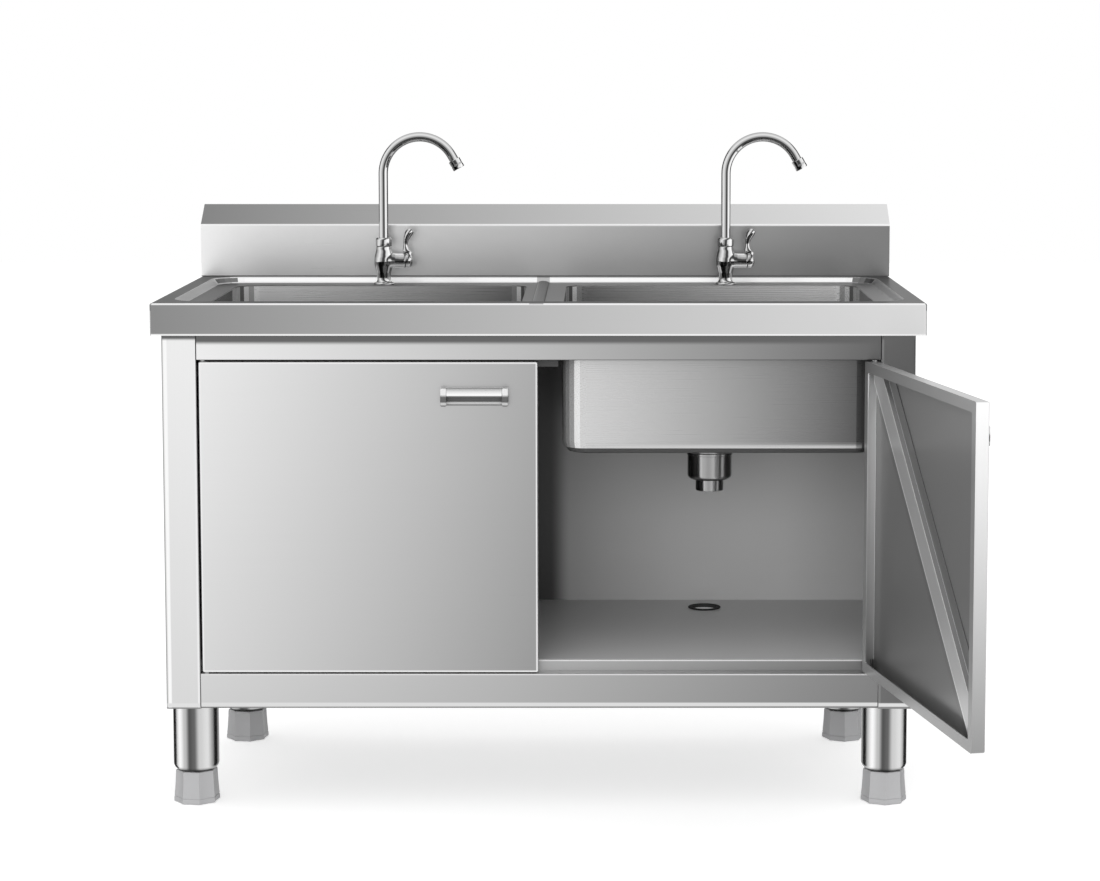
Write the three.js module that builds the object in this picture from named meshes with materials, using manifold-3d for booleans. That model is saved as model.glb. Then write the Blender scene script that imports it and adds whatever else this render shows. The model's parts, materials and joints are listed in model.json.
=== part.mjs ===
// A free-standing double-bowl kitchen sink unit in folded stainless steel, in millimetres, +Z up.
// X runs across the unit with 0 at its middle, Y runs from the fascia at 0 to the back, Z is 0 on the floor.
// The finished group is moved at the end, so that the origin is under the middle of the whole unit at rest.
import * as THREE from 'three';
import Module from 'manifold-3d';
import { mergeVertices } from 'three/addons/utils/BufferGeometryUtils.js';

const wasm = await Module();
wasm.setup();

// ---------------------------------------------------------------- driving dimensions

// Overall
const unitWidth = 1200;
const unitDepth = 600;
const worktopHeight = 800;

// Worktop: a lid folded down all round, with a tray pressed into its top
const deckSheet = 1.5;
const deckFold = 3;
const deckCorner = 4;
const fasciaHeight = 50;
const hemDepth = 12;
const sideRim = 26;
const frontRim = 38;
const backRim = 12;
const trayDrop = 10;
const trayRun = 12;
const trayCorner = 40;
const beadWidth = 20;
const beadHeight = 4;
const beadOffset = -7;

// Splashback: a box upstand that stands upright and then leans back
const splashDepth = 50;
const splashFaceHeight = 90;
const splashLeanHeight = 33.5;
const splashSheet = 1.5;

// Bowls
const bowlSideMargin = 32.5;
const bowlFrontMargin = 8;
const bowlGap = 67;
const bowlShift = 4;
const bowlDepth = 232;
const bowlCorner = 36;
const bowlFloorRadius = 18;
const bowlSheet = 1.5;
const bowlFlange = 8;
const floorFall = 3;
const seatDrop = 2.5;
const seatSlope = 3;

// Ledge behind the bowls, and the taps on it
const tapLedge = 50;
const rightTapOffset = 26.5;

// Cabinet body
const bodyInset = 15;
const backOverhang = 80;
const panelSheet = 1.5;
const panelFold = 2.5;
const postWidth = 54;
const baseHeight = 160;
const bottomRailHeight = 56;
const bottomRailFold = 6;
const topRailHeight = 40;
const railDepth = 30;
const baseFlange = 108;
const backPanelFlange = 30;
const shelfRise = 18;
const shelfLip = 22;
const shelfSetback = 22.5;
const pipeHoleRadius = 25;
const pipeHoleSetback = 68;

// Doors
const doorThickness = 20;
const doorSheet = 1.5;
const doorFold = 2.5;
const doorCorner = 3;
const doorLip = 15;
const doorHingeGap = 3;
const doorCentreGap = 3;
const doorEndGap = 2;
const doorOpening = 101;
const hingeInset = 6;
const pinRadius = 2.5;
const pinReach = 20;
const pinHeadRadius = 3.5;
const pinHeadHeight = 3;
const pinCollarRadius = 4.5;
const braceCrown = 40;
const braceWeb = 3;
const braceFlange = 26;
const braceHeight = 7;
const braceSheet = 1.25;
const braceFold = 2;
const braceEndGap = 14;
const handleWidth = 105;
const handleHeight = 28;
const handleReach = 17;
const handleEnd = 9.5;
const handlePlate = 2;
const handleSheet = 1.5;
const handleRound = 2;
const handleFromEdge = 45.5;
const handleFromTop = 40;
const hoodHeight = 13;
const hoodRadius = 8;
const lipHeight = 4;
const lipReach = 6;
const catchWidth = 60;
const catchDepth = 14;
const catchHeight = 12;

// Legs and feet
const legRadius = 36;
const legWall = 2;
const legEndRadius = 11;
const frontLegSide = 38;
const frontLegInset = 53;
const rearLegSide = 66;
const rearLegInset = 47;
const footHeight = 52;
const footTopRadius = 33;
const footBottomRadius = 36.5;
const footBand = 8.5;
const footBandStep = 1;
const footTurn = { left: 14, right: 0 };
const stemRadius = 11.5;
const stemLength = 60;

// Channel under the worktop between the bowls
const deckBraceWidth = 44;
const deckBraceHeight = 30;

// Drains
const rightDrainOffset = -10;
const drainOffsetY = -11;
const drainHoleRadius = 31;
const drainSeatRadius = 46;
const drainFlangeRadius = 44;
const throatRadius = 29.5;
const throatWall = 2;
const throatLength = 52;
const sealRadius = 39;
const sealHeight = 3;
const nutRadius = 39.5;
const nutHeight = 19;
const cupRadius = 36.25;
const cupHeight = 40.5;
const cupWall = 2.5;
const cupEndRadius = 8;
const outletRadius = 22.75;
const outletWall = 2.75;
const outletLength = 18.5;
const basketWall = 1.25;
const basketRimRadius = 34;
const basketRimHeight = 1.5;
const basketDepth = 24;
const basketHoles = 8;
const basketHoleRadius = 4;
const basketKnobRadius = 6;
const basketKnobHeight = 14;

// Shelf grommets
const grommetFlange = 3;
const grommetHeight = 2;
const grommetBore = 21;

// Taps
const shankRadius = 10;
const shankLength = 45;
const tapFlangeRadius = 18;
const tapFlangeHeight = 3;
const tapWaistRadius = 11.5;
const tapShoulderRadius = 12.5;
const tapBellyRadius = 16.5;
const tapBodyHeight = 66;
const armRadius = 12.5;
const armHeight = 41;
const armLength = 37;
const hubLength = 12.5;
const leverRise = 55;
const leverFootRadius = 5.25;
const leverNeckRadius = 3.75;
const leverKnobRadius = 7.25;
const leverLean = 6;
const collarRadius = 13.75;
const collarHeight = 15;
const collarChamfer = 2.5;
const spoutRadius = 8.25;
const spoutStraightLength = 124.5;
const spoutBendRadius = 63;
const spoutTurn = 150;
const spoutEndLength = 14;
const aeratorRadius = 11;
const aeratorLength = 17;
const aeratorSleeve = 5;
const aeratorBore = 7;
const tapNutRadius = 14;
const tapNutHeight = 6;

// Clearances
const seam = 0.5;
const weldGap = 0.3;
const turnGap = 0.3;
const threadGap = 0.5;
const basketGap = 1;
const holeGap = 1;

// Fineness of round shapes
const foldSteps = 3;
const cornerSteps = 6;
const trayRings = 4;
const bendSteps = 16;
const tubeSides = 12;
const roundSides = 20;
const smallSides = 12;
const holeSides = 8;

// ---------------------------------------------------------------- planes worked out from them

const halfWidth = unitWidth / 2;
const rimUnder = worktopHeight - deckSheet;
const trayTop = worktopHeight - trayDrop;
const trayUnder = trayTop - deckSheet;
const fasciaBottom = worktopHeight - fasciaHeight;
const splashFront = unitDepth - splashDepth;

const bodyHalf = halfWidth - bodyInset;
const bodyFront = bodyInset;
const bodyBack = unitDepth - backOverhang;
const postInner = bodyHalf - postWidth;
const railHalf = postInner - seam;
const topRailBottom = fasciaBottom - topRailHeight;
const bottomRailTop = baseHeight + bottomRailHeight;
const innerLip = frontRim - bodyInset - 2 * holeGap;
const backReturn = sideRim - bodyInset - holeGap;
const backPanelFace = bodyBack - panelSheet;
const backPanelInner = backPanelFace - panelSheet;
const shelfTop = bottomRailTop + shelfRise;
const pipeHoleY = backPanelInner - pipeHoleSetback;

const trayHalf = halfWidth - sideRim - trayRun;
const trayFront = frontRim + trayRun;
const trayBack = splashFront - backRim - trayRun;
const bowlWidth = trayHalf - bowlSideMargin - bowlGap / 2;
const bowlFront = trayFront + bowlFrontMargin;
const bowlBack = trayBack - tapLedge;
const bowlFloor = trayTop - bowlDepth;
const bowlCentreY = (bowlFront + bowlBack) / 2;
const seatTop = bowlFloor - floorFall - seatDrop;
const seatUnder = seatTop - bowlSheet;
const bowlReach = (bowlGap + bowlWidth) / 2;
const bowlCentre = { left: bowlShift - bowlReach, right: bowlShift + bowlReach };
const drainY = bowlCentreY + drainOffsetY;
const drainCentre = { left: bowlCentre.left, right: bowlCentre.right + rightDrainOffset };
const tapY = bowlBack + tapLedge / 2;
const tapCentre = { left: bowlCentre.left, right: bowlCentre.right + rightTapOffset };

const doorTop = topRailBottom - doorEndGap;
const doorBottom = bottomRailTop + doorEndGap;
const hingeX = postInner - doorHingeGap - hingeInset;
const hingeY = bodyFront + hingeInset;
const doorFree = doorCentreGap / 2 - hingeX;

const rad = THREE.MathUtils.degToRad;

// ---------------------------------------------------------------- finishes

const finishes = {
  satinSteel: { color: 0xc4c6c8, metalness: 1, roughness: 0.34 },
  innerSteel: { color: 0xb4b6b8, metalness: 1, roughness: 0.42 },
  polishedSteel: { color: 0xd8dadc, metalness: 1, roughness: 0.2 },
  chrome: { color: 0xe6e8ea, metalness: 1, roughness: 0.06 },
  greyPlastic: { color: 0xb0b0b3, metalness: 0, roughness: 0.5 },
  darkPlastic: { color: 0x5b5c5f, metalness: 0, roughness: 0.45 },
  blackRubber: { color: 0x1a1a1b, metalness: 0, roughness: 0.8 },
};

// ---------------------------------------------------------------- building blocks

// A shape drawn in (y, z) and pulled along X, or drawn in (x, z) and pulled towards the front.
const alongX = new THREE.Matrix4().makeBasis(
  new THREE.Vector3(0, 1, 0),
  new THREE.Vector3(0, 0, 1),
  new THREE.Vector3(1, 0, 0),
);
const toFront = new THREE.Matrix4().makeBasis(
  new THREE.Vector3(1, 0, 0),
  new THREE.Vector3(0, 0, 1),
  new THREE.Vector3(0, -1, 0),
);

// A closed geometry as a solid that can be joined and cut.
function solid(geometry) {
  const bare = new THREE.BufferGeometry().setAttribute('position', geometry.getAttribute('position'));
  bare.setIndex(geometry.getIndex());
  const merged = mergeVertices(bare, 1e-4);
  return new wasm.Manifold(
    new wasm.Mesh({
      numProp: 3,
      vertProperties: new Float32Array(merged.attributes.position.array),
      triVerts: new Uint32Array(merged.index.array),
    }),
  );
}

// A solid as a geometry. Its corners keep to a fine grid, so that pieces that meet share one plane exactly.
function geometryOf(piece) {
  const grid = 1024;
  const mesh = piece.getMesh();
  const position = Float32Array.from(mesh.vertProperties, (v) => Math.round(v * grid) / grid);
  const geometry = new THREE.BufferGeometry();
  geometry.setAttribute('position', new THREE.BufferAttribute(position, 3));
  geometry.setIndex(new THREE.BufferAttribute(new Uint32Array(mesh.triVerts), 1));
  geometry.computeVertexNormals();
  return geometry;
}

const asDrawn = new THREE.Matrix4();
const sideways = new THREE.Matrix4().makeRotationY(Math.PI / 2);
const at = (x, y, z = 0) => new THREE.Matrix4().makeTranslation(x, y, z);

function box([x0, x1], [y0, y1], [z0, z1]) {
  const geometry = new THREE.BoxGeometry(x1 - x0, y1 - y0, z1 - z0);
  return solid(geometry.translate((x0 + x1) / 2, (y0 + y1) / 2, (z0 + z1) / 2));
}

function prism(outline, from, to, place = asDrawn) {
  const shape = new THREE.Shape(outline);
  const geometry = new THREE.ExtrudeGeometry(shape, { depth: to - from, bevelEnabled: false });
  return solid(geometry.translate(0, 0, from).applyMatrix4(place));
}

// A profile of [radius, z] pairs, up its outside and down its inside, turned about Z and then placed.
function turned(profile, sides = roundSides, place = asDrawn) {
  const points = profile.map(([r, z]) => new THREE.Vector2(r, z));
  if (profile[0][0] > 0) points.push(points[0].clone());
  return solid(new THREE.LatheGeometry(points, sides).rotateX(Math.PI / 2).applyMatrix4(place));
}

function cylinder(radius, z0, z1, sides = roundSides, place = asDrawn) {
  return turned([[0, z0], [radius, z0], [radius, z1], [0, z1]], sides, place);
}

// Points of a quarter round from one [r, z] side to the other, about a centre.
function arc(centreR, centreZ, radius, fromDegrees, toDegrees, steps = foldSteps) {
  return Array.from({ length: steps + 1 }, (_, i) => {
    const a = rad(fromDegrees + ((toDegrees - fromDegrees) * i) / steps);
    return [centreR + radius * Math.cos(a), centreZ + radius * Math.sin(a)];
  });
}

// The corners of a rounded rectangle at one height, anticlockwise from above.
function rectRing(x0, x1, y0, y1, radius, z, steps = cornerSteps) {
  const centres = [[x1 - radius, y1 - radius], [x0 + radius, y1 - radius], [x0 + radius, y0 + radius],
    [x1 - radius, y0 + radius]];
  return centres.flatMap(([x, y], i) =>
    arc(x, y, radius, 90 * i, 90 * (i + 1), steps).map(([px, py]) => new THREE.Vector3(px, py, z)));
}

// A circle with as many corners as a rounded rectangle of the same steps.
function roundRing(x, y, radius, z, steps = cornerSteps) {
  const count = 4 * (steps + 1);
  return Array.from({ length: count }, (_, i) => {
    const a = (2 * Math.PI * (i + 0.5)) / count;
    return new THREE.Vector3(x + radius * Math.cos(a), y + radius * Math.sin(a), z);
  });
}

// A skin through rings that rise in order, closed by flat ends, or by joining the last ring to the first.
function skin(rings, looped = false) {
  const count = rings[0].length;
  const index = [];
  const last = looped ? rings.length : rings.length - 1;
  for (let r = 0; r < last; r++) {
    const low = r * count;
    const high = ((r + 1) % rings.length) * count;
    for (let i = 0; i < count; i++) {
      const next = (i + 1) % count;
      index.push(low + i, low + next, high + next, low + i, high + next, high + i);
    }
  }
  const top = last * count;
  for (let i = 1; !looped && i < count - 1; i++) index.push(0, i + 1, i, top, top + i, top + i + 1);
  const geometry = new THREE.BufferGeometry().setFromPoints(rings.flat());
  return solid(geometry.setIndex(index));
}

// A block with rounded upright corners and, where edge is given, a rounded top edge.
function softBlock([x0, x1], [y0, y1], [z0, z1], corner, edge = 0) {
  const at = (inset, z) =>
    rectRing(x0 + inset, x1 - inset, y0 + inset, y1 - inset, corner - inset, z, foldSteps);
  const round = edge ? arc(-edge, z1 - edge, edge, 0, 90, foldSteps) : [[0, z1]];
  return skin([at(0, z0), ...round.map(([out, z]) => at(-out, z))]);
}

// The outline of a bent sheet. Its outer face follows the given line, and the sheet lies on the line's left.
function bentSheet(face, sheet, fold) {
  const folds = Array.isArray(fold) ? fold : face.map(() => fold);
  const points = face.map(([u, v]) => new THREE.Vector2(u, v));
  const heading = (i) => points[i + 1].clone().sub(points[i]).normalize();
  const leftOf = (d) => new THREE.Vector2(-d.y, d.x);
  const outer = [];
  const inner = [];
  const put = (p, normal) => {
    outer.push(p);
    inner.unshift(p.clone().addScaledVector(normal, sheet));
  };
  points.forEach((p, i) => {
    if (i === 0) return put(p, leftOf(heading(0)));
    if (i === points.length - 1) return put(p, leftOf(heading(i - 1)));
    const before = heading(i - 1);
    const after = heading(i);
    const turn = Math.atan2(before.cross(after), before.dot(after));
    const radius = turn > 0 ? folds[i] : sheet - folds[i];
    const start = p.clone().addScaledVector(before, -radius * Math.tan(turn / 2));
    const centre = start.addScaledVector(leftOf(before), radius);
    for (let k = 0; k <= foldSteps; k++) {
      const normal = leftOf(before).rotateAround(new THREE.Vector2(), (turn * k) / foldSteps);
      put(centre.clone().addScaledVector(normal, -radius), normal);
    }
    return undefined;
  });
  return [...outer, ...inner];
}

function part(name, piece, finish, parent) {
  const mesh = new THREE.Mesh(geometryOf(piece), new THREE.MeshStandardMaterial(finishes[finish]));
  mesh.name = name;
  parent.add(mesh);
  return mesh;
}

const unit = new THREE.Group();

// ---------------------------------------------------------------- worktop

// The space of the tray above the sheet, lowered by some distance.
function traySpace(lowered) {
  const rings = Array.from({ length: trayRings + 1 }, (_, k) => {
    const t = k / trayRings;
    const inset = trayRun * (1 - t);
    const z = trayTop + trayDrop * t * t * (3 - 2 * t);
    return [inset, z - lowered];
  });
  rings.push([0, worktopHeight + holeGap - lowered]);
  const half = trayHalf + trayRun;
  return skin(rings.map(([inset, z]) =>
    rectRing(inset - half, half - inset, frontRim + inset, trayBack + trayRun - inset,
      trayCorner + trayRun - inset, z)));
}

function bowlOpening(side) {
  const x = bowlCentre[side];
  const half = bowlWidth / 2;
  const edge = rectRing(x - half, x + half, bowlFront, bowlBack, bowlCorner, trayUnder - holeGap);
  return skin([edge, edge.map((p) => p.clone().setZ(trayTop + holeGap))]);
}

function deckBead() {
  const sides = 8;
  const outline = Array.from({ length: sides + 1 }, (_, i) => {
    const a = (Math.PI * i) / sides;
    const x = bowlShift + beadOffset + (beadWidth / 2) * Math.cos(a);
    return new THREE.Vector2(x, trayTop + beadHeight * Math.sin(a));
  });
  outline.push(new THREE.Vector2(outline[sides].x, trayTop - deckSheet / 2));
  outline.push(new THREE.Vector2(outline[0].x, trayTop - deckSheet / 2));
  return prism(outline, -trayBack, -trayFront, toFront);
}

function sinkDeck() {
  const lid = softBlock([-halfWidth, halfWidth], [0, unitDepth], [fasciaBottom, worktopHeight],
    deckCorner, deckFold);
  const wall = (inset) => [[inset - halfWidth, halfWidth - inset], [inset, unitDepth - inset]];
  const hollow = softBlock(...wall(deckSheet), [fasciaBottom + deckSheet, rimUnder],
    deckCorner - deckSheet, deckFold - deckSheet);
  const mouth = softBlock(...wall(hemDepth), [fasciaBottom - holeGap, fasciaBottom + 2 * deckSheet],
    deckCorner);
  let deck = lid
    .subtract(hollow.add(mouth).subtract(traySpace(deckSheet)))
    .subtract(traySpace(0))
    .add(deckBead());
  for (const side of ['left', 'right']) {
    const tapHole = cylinder(shankRadius + holeGap, trayUnder - holeGap, trayTop + holeGap, smallSides,
      at(tapCentre[side], tapY));
    deck = deck.subtract(bowlOpening(side)).subtract(tapHole);
  }
  part('sink_deck', deck, 'satinSteel', unit);
}

function splashback() {
  const profile = (inset) => {
    const slope = splashLeanHeight / splashDepth;
    const drop = inset * Math.hypot(1, slope);
    const front = splashFront + inset;
    const back = unitDepth - inset;
    const lean = (y) => worktopHeight + splashFaceHeight + slope * (y - splashFront) - drop;
    const foot = worktopHeight - (inset ? holeGap : 0);
    return [[front, lean(front)], [front, foot], [back, foot], [back, lean(back)]]
      .map(([y, z]) => new THREE.Vector2(y, z));
  };
  const shell = prism(profile(0), -halfWidth, halfWidth, alongX);
  const hollow = prism(profile(splashSheet), splashSheet - halfWidth, halfWidth - splashSheet, alongX);
  part('splashback', shell.subtract(hollow), 'satinSteel', unit);
}

function bowl(side) {
  const x = bowlCentre[side];
  const drainX = drainCentre[side];
  const rect = (grown, z) =>
    rectRing(x - bowlWidth / 2 - grown, x + bowlWidth / 2 + grown, bowlFront - grown, bowlBack + grown,
      bowlCorner + grown, z);
  const drain = (radius, z) => roundRing(drainX, drainY, radius, z);
  const floorRound = (grown) =>
    arc(-bowlFloorRadius, bowlFloor + bowlFloorRadius, bowlFloorRadius + grown, -90, 0)
      .map(([out, z]) => rect(out, z));
  const seatEdge = drainSeatRadius + seatSlope;
  part(`bowl_${side}`, skin([
    drain(drainHoleRadius, seatUnder),
    drain(drainSeatRadius, seatUnder),
    drain(seatEdge, seatUnder + seatDrop),
    ...floorRound(bowlSheet),
    rect(bowlSheet, trayUnder - bowlSheet),
    rect(bowlFlange, trayUnder - bowlSheet),
    rect(bowlFlange, trayUnder),
    rect(0, trayUnder),
    ...floorRound(0).reverse(),
    drain(seatEdge, seatTop + seatDrop),
    drain(drainSeatRadius, seatTop),
    drain(drainHoleRadius, seatTop),
  ], true), 'satinSteel', unit);
}

function deckBrace() {
  const left = bowlShift - deckBraceWidth / 2;
  const right = bowlShift + deckBraceWidth / 2;
  const foot = trayUnder - deckBraceHeight;
  const outline = bentSheet([[right, foot], [right, trayUnder], [left, trayUnder], [left, foot]],
    panelSheet, panelFold);
  const channel = prism(outline, 2 * holeGap - backPanelInner, -trayFront - holeGap, toFront);
  part('deck_brace', channel, 'innerSteel', unit);
}

// ---------------------------------------------------------------- cabinet body

function sidePanel(side, parent) {
  const outline = bentSheet([
    [postInner, bodyFront + innerLip],
    [postInner, bodyFront],
    [bodyHalf, bodyFront],
    [bodyHalf, bodyBack],
    [bodyHalf - backReturn, bodyBack],
  ], panelSheet, panelFold);
  const intoWall = panelSheet / 2;
  const wallMiddle = bodyHalf - intoWall;
  const railBack = bodyFront + railDepth + seam;
  const base = [baseHeight, baseHeight + panelSheet];
  const underPost = box([postInner + intoWall, wallMiddle], [bodyFront + intoWall, railBack + panelSheet],
    base);
  const underCabinet = box([bodyHalf - baseFlange, wallMiddle], [railBack, bodyBack - intoWall], base);
  const wall = prism(outline, baseHeight, rimUnder);
  part(`side_panel_${side}`, wall.add(underPost).add(underCabinet), 'satinSteel', parent);
}

function backPanel() {
  const half = bodyHalf - panelFold;
  const foot = baseHeight + panelSheet;
  const outline = bentSheet([[backPanelFace - backPanelFlange, foot], [backPanelFace, foot],
    [backPanelFace, trayUnder]], panelSheet, panelFold);
  part('back_panel', prism(outline, -half, half, alongX), 'innerSteel', unit);
}

// A rail of C section between the posts, with its open side to the back.
function rail(name, bottom, top, topDepth, bottomFold, pinHoleZ) {
  const outline = bentSheet([
    [bodyFront + topDepth, top],
    [bodyFront, top],
    [bodyFront, bottom],
    [bodyFront + railDepth, bottom],
  ], panelSheet, [0, panelFold, bottomFold, 0]);
  let piece = prism(outline, -railHalf, railHalf, alongX);
  const reach = 2 * panelSheet;
  for (const x of [-hingeX, hingeX]) {
    const hole = cylinder(pinRadius + turnGap, pinHoleZ - reach, pinHoleZ + reach, smallSides, at(x, hingeY));
    piece = piece.subtract(hole);
  }
  part(name, piece, 'satinSteel', unit);
}

function bottomShelf() {
  const half = bodyHalf - panelSheet;
  const front = bodyFront + shelfSetback;
  const outline = bentSheet([[backPanelInner, shelfTop], [front, shelfTop], [front, shelfTop - shelfLip]],
    panelSheet, panelFold);
  let shelf = prism(outline, -half, half, alongX);
  for (const side of ['left', 'right']) {
    const hole = cylinder(pipeHoleRadius, shelfTop - 2 * panelSheet, shelfTop + panelSheet, roundSides,
      at(drainCentre[side], pipeHoleY));
    shelf = shelf.subtract(hole);
  }
  part('bottom_shelf', shelf, 'innerSteel', unit);
}

function pipeGrommet(side) {
  const outer = pipeHoleRadius + grommetFlange;
  const neck = pipeHoleRadius - weldGap;
  const under = shelfTop - panelSheet - weldGap;
  const ring = turned([
    [grommetBore, under - grommetHeight],
    [outer, under - grommetHeight],
    [outer, under],
    [neck, under],
    [neck, shelfTop],
    [outer, shelfTop],
    [outer, shelfTop + grommetHeight],
    [grommetBore, shelfTop + grommetHeight],
  ]);
  const mesh = part(`pipe_grommet_${side}`, ring, 'blackRubber', unit);
  mesh.position.set(drainCentre[side], pipeHoleY, 0);
}

function doorCatch() {
  const front = bodyFront + doorThickness + seam;
  const block = box([-catchWidth / 2, catchWidth / 2], [front, front + catchDepth],
    [topRailBottom - catchHeight, topRailBottom]);
  part('door_catch', block, 'darkPlastic', unit);
}

// ---------------------------------------------------------------- legs and feet

function leg(name, x, y) {
  const inner = legRadius - legWall;
  const bore = stemRadius + threadGap;
  const shoulder = legRadius - legEndRadius;
  const tube = turned([
    [bore, footHeight],
    ...arc(shoulder, footHeight + legEndRadius, legEndRadius, -90, 0),
    [legRadius, baseHeight],
    [inner, baseHeight],
    ...arc(shoulder, footHeight + legEndRadius, legEndRadius - legWall, 0, -90),
    [bore, footHeight + legWall],
  ]);
  part(`leg_${name}`, tube, 'polishedSteel', unit).position.set(x, y, 0);
}

function foot(name, side, x, y) {
  const facets = 8;
  const top = footHeight - weldGap;
  const bandTop = footBottomRadius - footBandStep;
  const body = turned([
    [0, 0],
    [bandTop, 0],
    [footBottomRadius, footBandStep],
    [footBottomRadius, footBand],
    [bandTop, footBand + footBandStep],
    [footTopRadius, top],
    [0, top],
  ], facets, new THREE.Matrix4().makeRotationZ(rad(footTurn[side])));
  const stem = cylinder(stemRadius, footBand, footHeight + stemLength, smallSides);
  part(`foot_${name}`, body.add(stem), 'greyPlastic', unit).position.set(x, y, 0);
}

function legsAndFeet() {
  for (const [side, sign] of [['left', -1], ['right', 1]]) {
    const places = {
      front: [sign * (bodyHalf - frontLegSide), bodyFront + frontLegInset],
      rear: [sign * (bodyHalf - rearLegSide), bodyBack - rearLegInset],
    };
    for (const [end, [x, y]] of Object.entries(places)) {
      leg(`${end}_${side}`, x, y);
      foot(`${end}_${side}`, side, x, y);
    }
  }
}

// ---------------------------------------------------------------- drains

function drainSet(side) {
  const drain = new THREE.Group();
  drain.position.set(drainCentre[side], drainY, 0);
  unit.add(drain);

  const throatInner = throatRadius - throatWall;
  const flangeTop = seatTop + seatDrop;
  part(`strainer_flange_${side}`, turned([
    [throatInner, seatTop - throatLength],
    [throatRadius, seatTop - throatLength],
    [throatRadius, seatTop],
    [drainFlangeRadius, seatTop],
    [drainFlangeRadius, flangeTop],
    [throatInner, flangeTop],
  ]), 'polishedSteel', drain);

  const sealBore = throatRadius + threadGap;
  const nutTop = seatUnder - sealHeight;
  const ring = (inner, outer, bottom, top) =>
    turned([[inner, bottom], [outer, bottom], [outer, top], [inner, top]]);
  part(`drain_seal_${side}`, ring(sealBore, sealRadius, nutTop, seatUnder), 'blackRubber', drain);

  const cupTop = nutTop - nutHeight;
  part(`drain_nut_${side}`, ring(sealBore, nutRadius, cupTop, nutTop), 'polishedSteel', drain);

  const cupBottom = cupTop - cupHeight;
  const shoulder = cupRadius - cupEndRadius;
  const outletBore = outletRadius - outletWall;
  part(`drain_cup_${side}`, turned([
    [outletBore, cupBottom],
    ...arc(shoulder, cupBottom + cupEndRadius, cupEndRadius, -90, 0),
    [cupRadius, cupTop],
    [cupRadius - cupWall, cupTop],
    ...arc(shoulder, cupBottom + cupEndRadius, cupEndRadius - cupWall, 0, -90),
    [outletBore, cupBottom + cupWall],
  ]), 'polishedSteel', drain);
  part(`drain_outlet_${side}`, ring(outletBore, outletRadius, cupBottom - outletLength, cupBottom),
    'polishedSteel', drain);

  strainerBasket(side, throatInner - basketGap, flangeTop, drain);
}

// A perforated cup that hangs by its rim on the strainer flange, with a knob to lift it by.
function strainerBasket(side, radius, rimUnderside, drain) {
  const inner = radius - basketWall;
  const bottom = rimUnderside - basketDepth;
  const floor = bottom + basketWall;
  const rimTop = rimUnderside + basketRimHeight;
  let basket = turned([
    [0, bottom],
    [radius, bottom],
    [radius, rimUnderside],
    [basketRimRadius, rimUnderside],
    [basketRimRadius, rimTop],
    [inner, rimTop],
    [inner, floor],
    [basketKnobRadius / 2, floor],
    [basketKnobRadius / 2, rimTop],
    ...arc(0, rimTop + basketKnobHeight - basketKnobRadius, basketKnobRadius, -60, 90, 5),
  ]);
  for (let i = 0; i < basketHoles; i++) {
    const a = (2 * Math.PI * i) / basketHoles;
    const reach = (inner + basketKnobRadius / 2) / 2;
    const hole = cylinder(basketHoleRadius, bottom - holeGap, floor + holeGap, holeSides,
      at(reach * Math.cos(a), reach * Math.sin(a)));
    basket = basket.subtract(hole);
  }
  part(`strainer_basket_${side}`, basket, 'polishedSteel', drain);
}

// ---------------------------------------------------------------- taps

function tapSet(side) {
  const tap = new THREE.Group();
  tap.position.set(tapCentre[side], tapY, 0);
  unit.add(tap);
  const top = trayTop + tapBodyHeight;
  const armZ = trayTop + armHeight;

  const body = turned([
    [0, trayTop - shankLength],
    [shankRadius, trayTop - shankLength],
    [shankRadius, trayTop],
    [tapFlangeRadius, trayTop],
    [tapFlangeRadius, trayTop + tapFlangeHeight],
    [tapWaistRadius, trayTop + 2 * tapFlangeHeight],
    [tapWaistRadius, trayTop + armHeight / 3],
    [tapBellyRadius, armZ - armRadius / 2],
    [tapBellyRadius, armZ + armRadius / 2],
    [tapShoulderRadius, top],
    [0, top],
  ]);
  const arm = cylinder(armRadius, 0, armLength, smallSides, at(0, 0, armZ).multiply(sideways));
  part(`tap_body_${side}`, body.add(arm), 'chrome', tap);

  const collarBore = spoutRadius + turnGap;
  part(`tap_collar_${side}`, turned([
    [collarBore, top],
    [collarRadius, top],
    [collarRadius, top + collarHeight - collarChamfer],
    [collarRadius - collarChamfer, top + collarHeight],
    [collarBore, top + collarHeight],
  ]), 'chrome', tap);

  const hexagon = cylinder(tapNutRadius, trayUnder - tapNutHeight, trayUnder, 6);
  const nutBore = cylinder(shankRadius + threadGap, trayUnder - tapNutHeight - holeGap, trayUnder + holeGap);
  part(`tap_nut_${side}`, hexagon.subtract(nutBore), 'polishedSteel', tap);

  tapLever(side, armZ, tap);
  spout(side, top + turnGap, tap);
}

// A hub on the end of the arm with a curved stem and a round knob. It turns about the arm's axis.
function tapLever(side, armZ, tap) {
  const start = armLength + turnGap;
  const hub = turned([
    [0, start],
    [armRadius, start],
    [armRadius, start + hubLength / 2],
    [armRadius * 0.8, start + hubLength * 0.85],
    [0, start + hubLength],
  ], smallSides, sideways);
  const foot = start + hubLength / 2;
  const neck = armLength + leverNeckRadius / 8;
  const stations = [
    [foot, armRadius / 2, leverFootRadius],
    [foot - leverNeckRadius / 4, armRadius + leverNeckRadius / 2, leverFootRadius * 0.9],
    [neck, leverRise * 0.5, leverNeckRadius],
    [neck + leverLean * 0.4, leverRise * 0.66, leverNeckRadius * 1.2],
    [neck + leverLean * 0.8, leverRise * 0.8, leverKnobRadius * 0.92],
    [neck + leverLean, leverRise * 0.89, leverKnobRadius],
    [neck + leverLean, leverRise * 0.97, leverKnobRadius * 0.72],
    [neck + leverLean, leverRise, leverKnobRadius * 0.3],
  ];
  const stem = skin(stations.map(([x, z, radius]) => roundRing(x, 0, radius, z, 2)));
  part(`tap_lever_${side}`, hub.add(stem), 'chrome', tap).position.set(0, 0, armZ);
}

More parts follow.
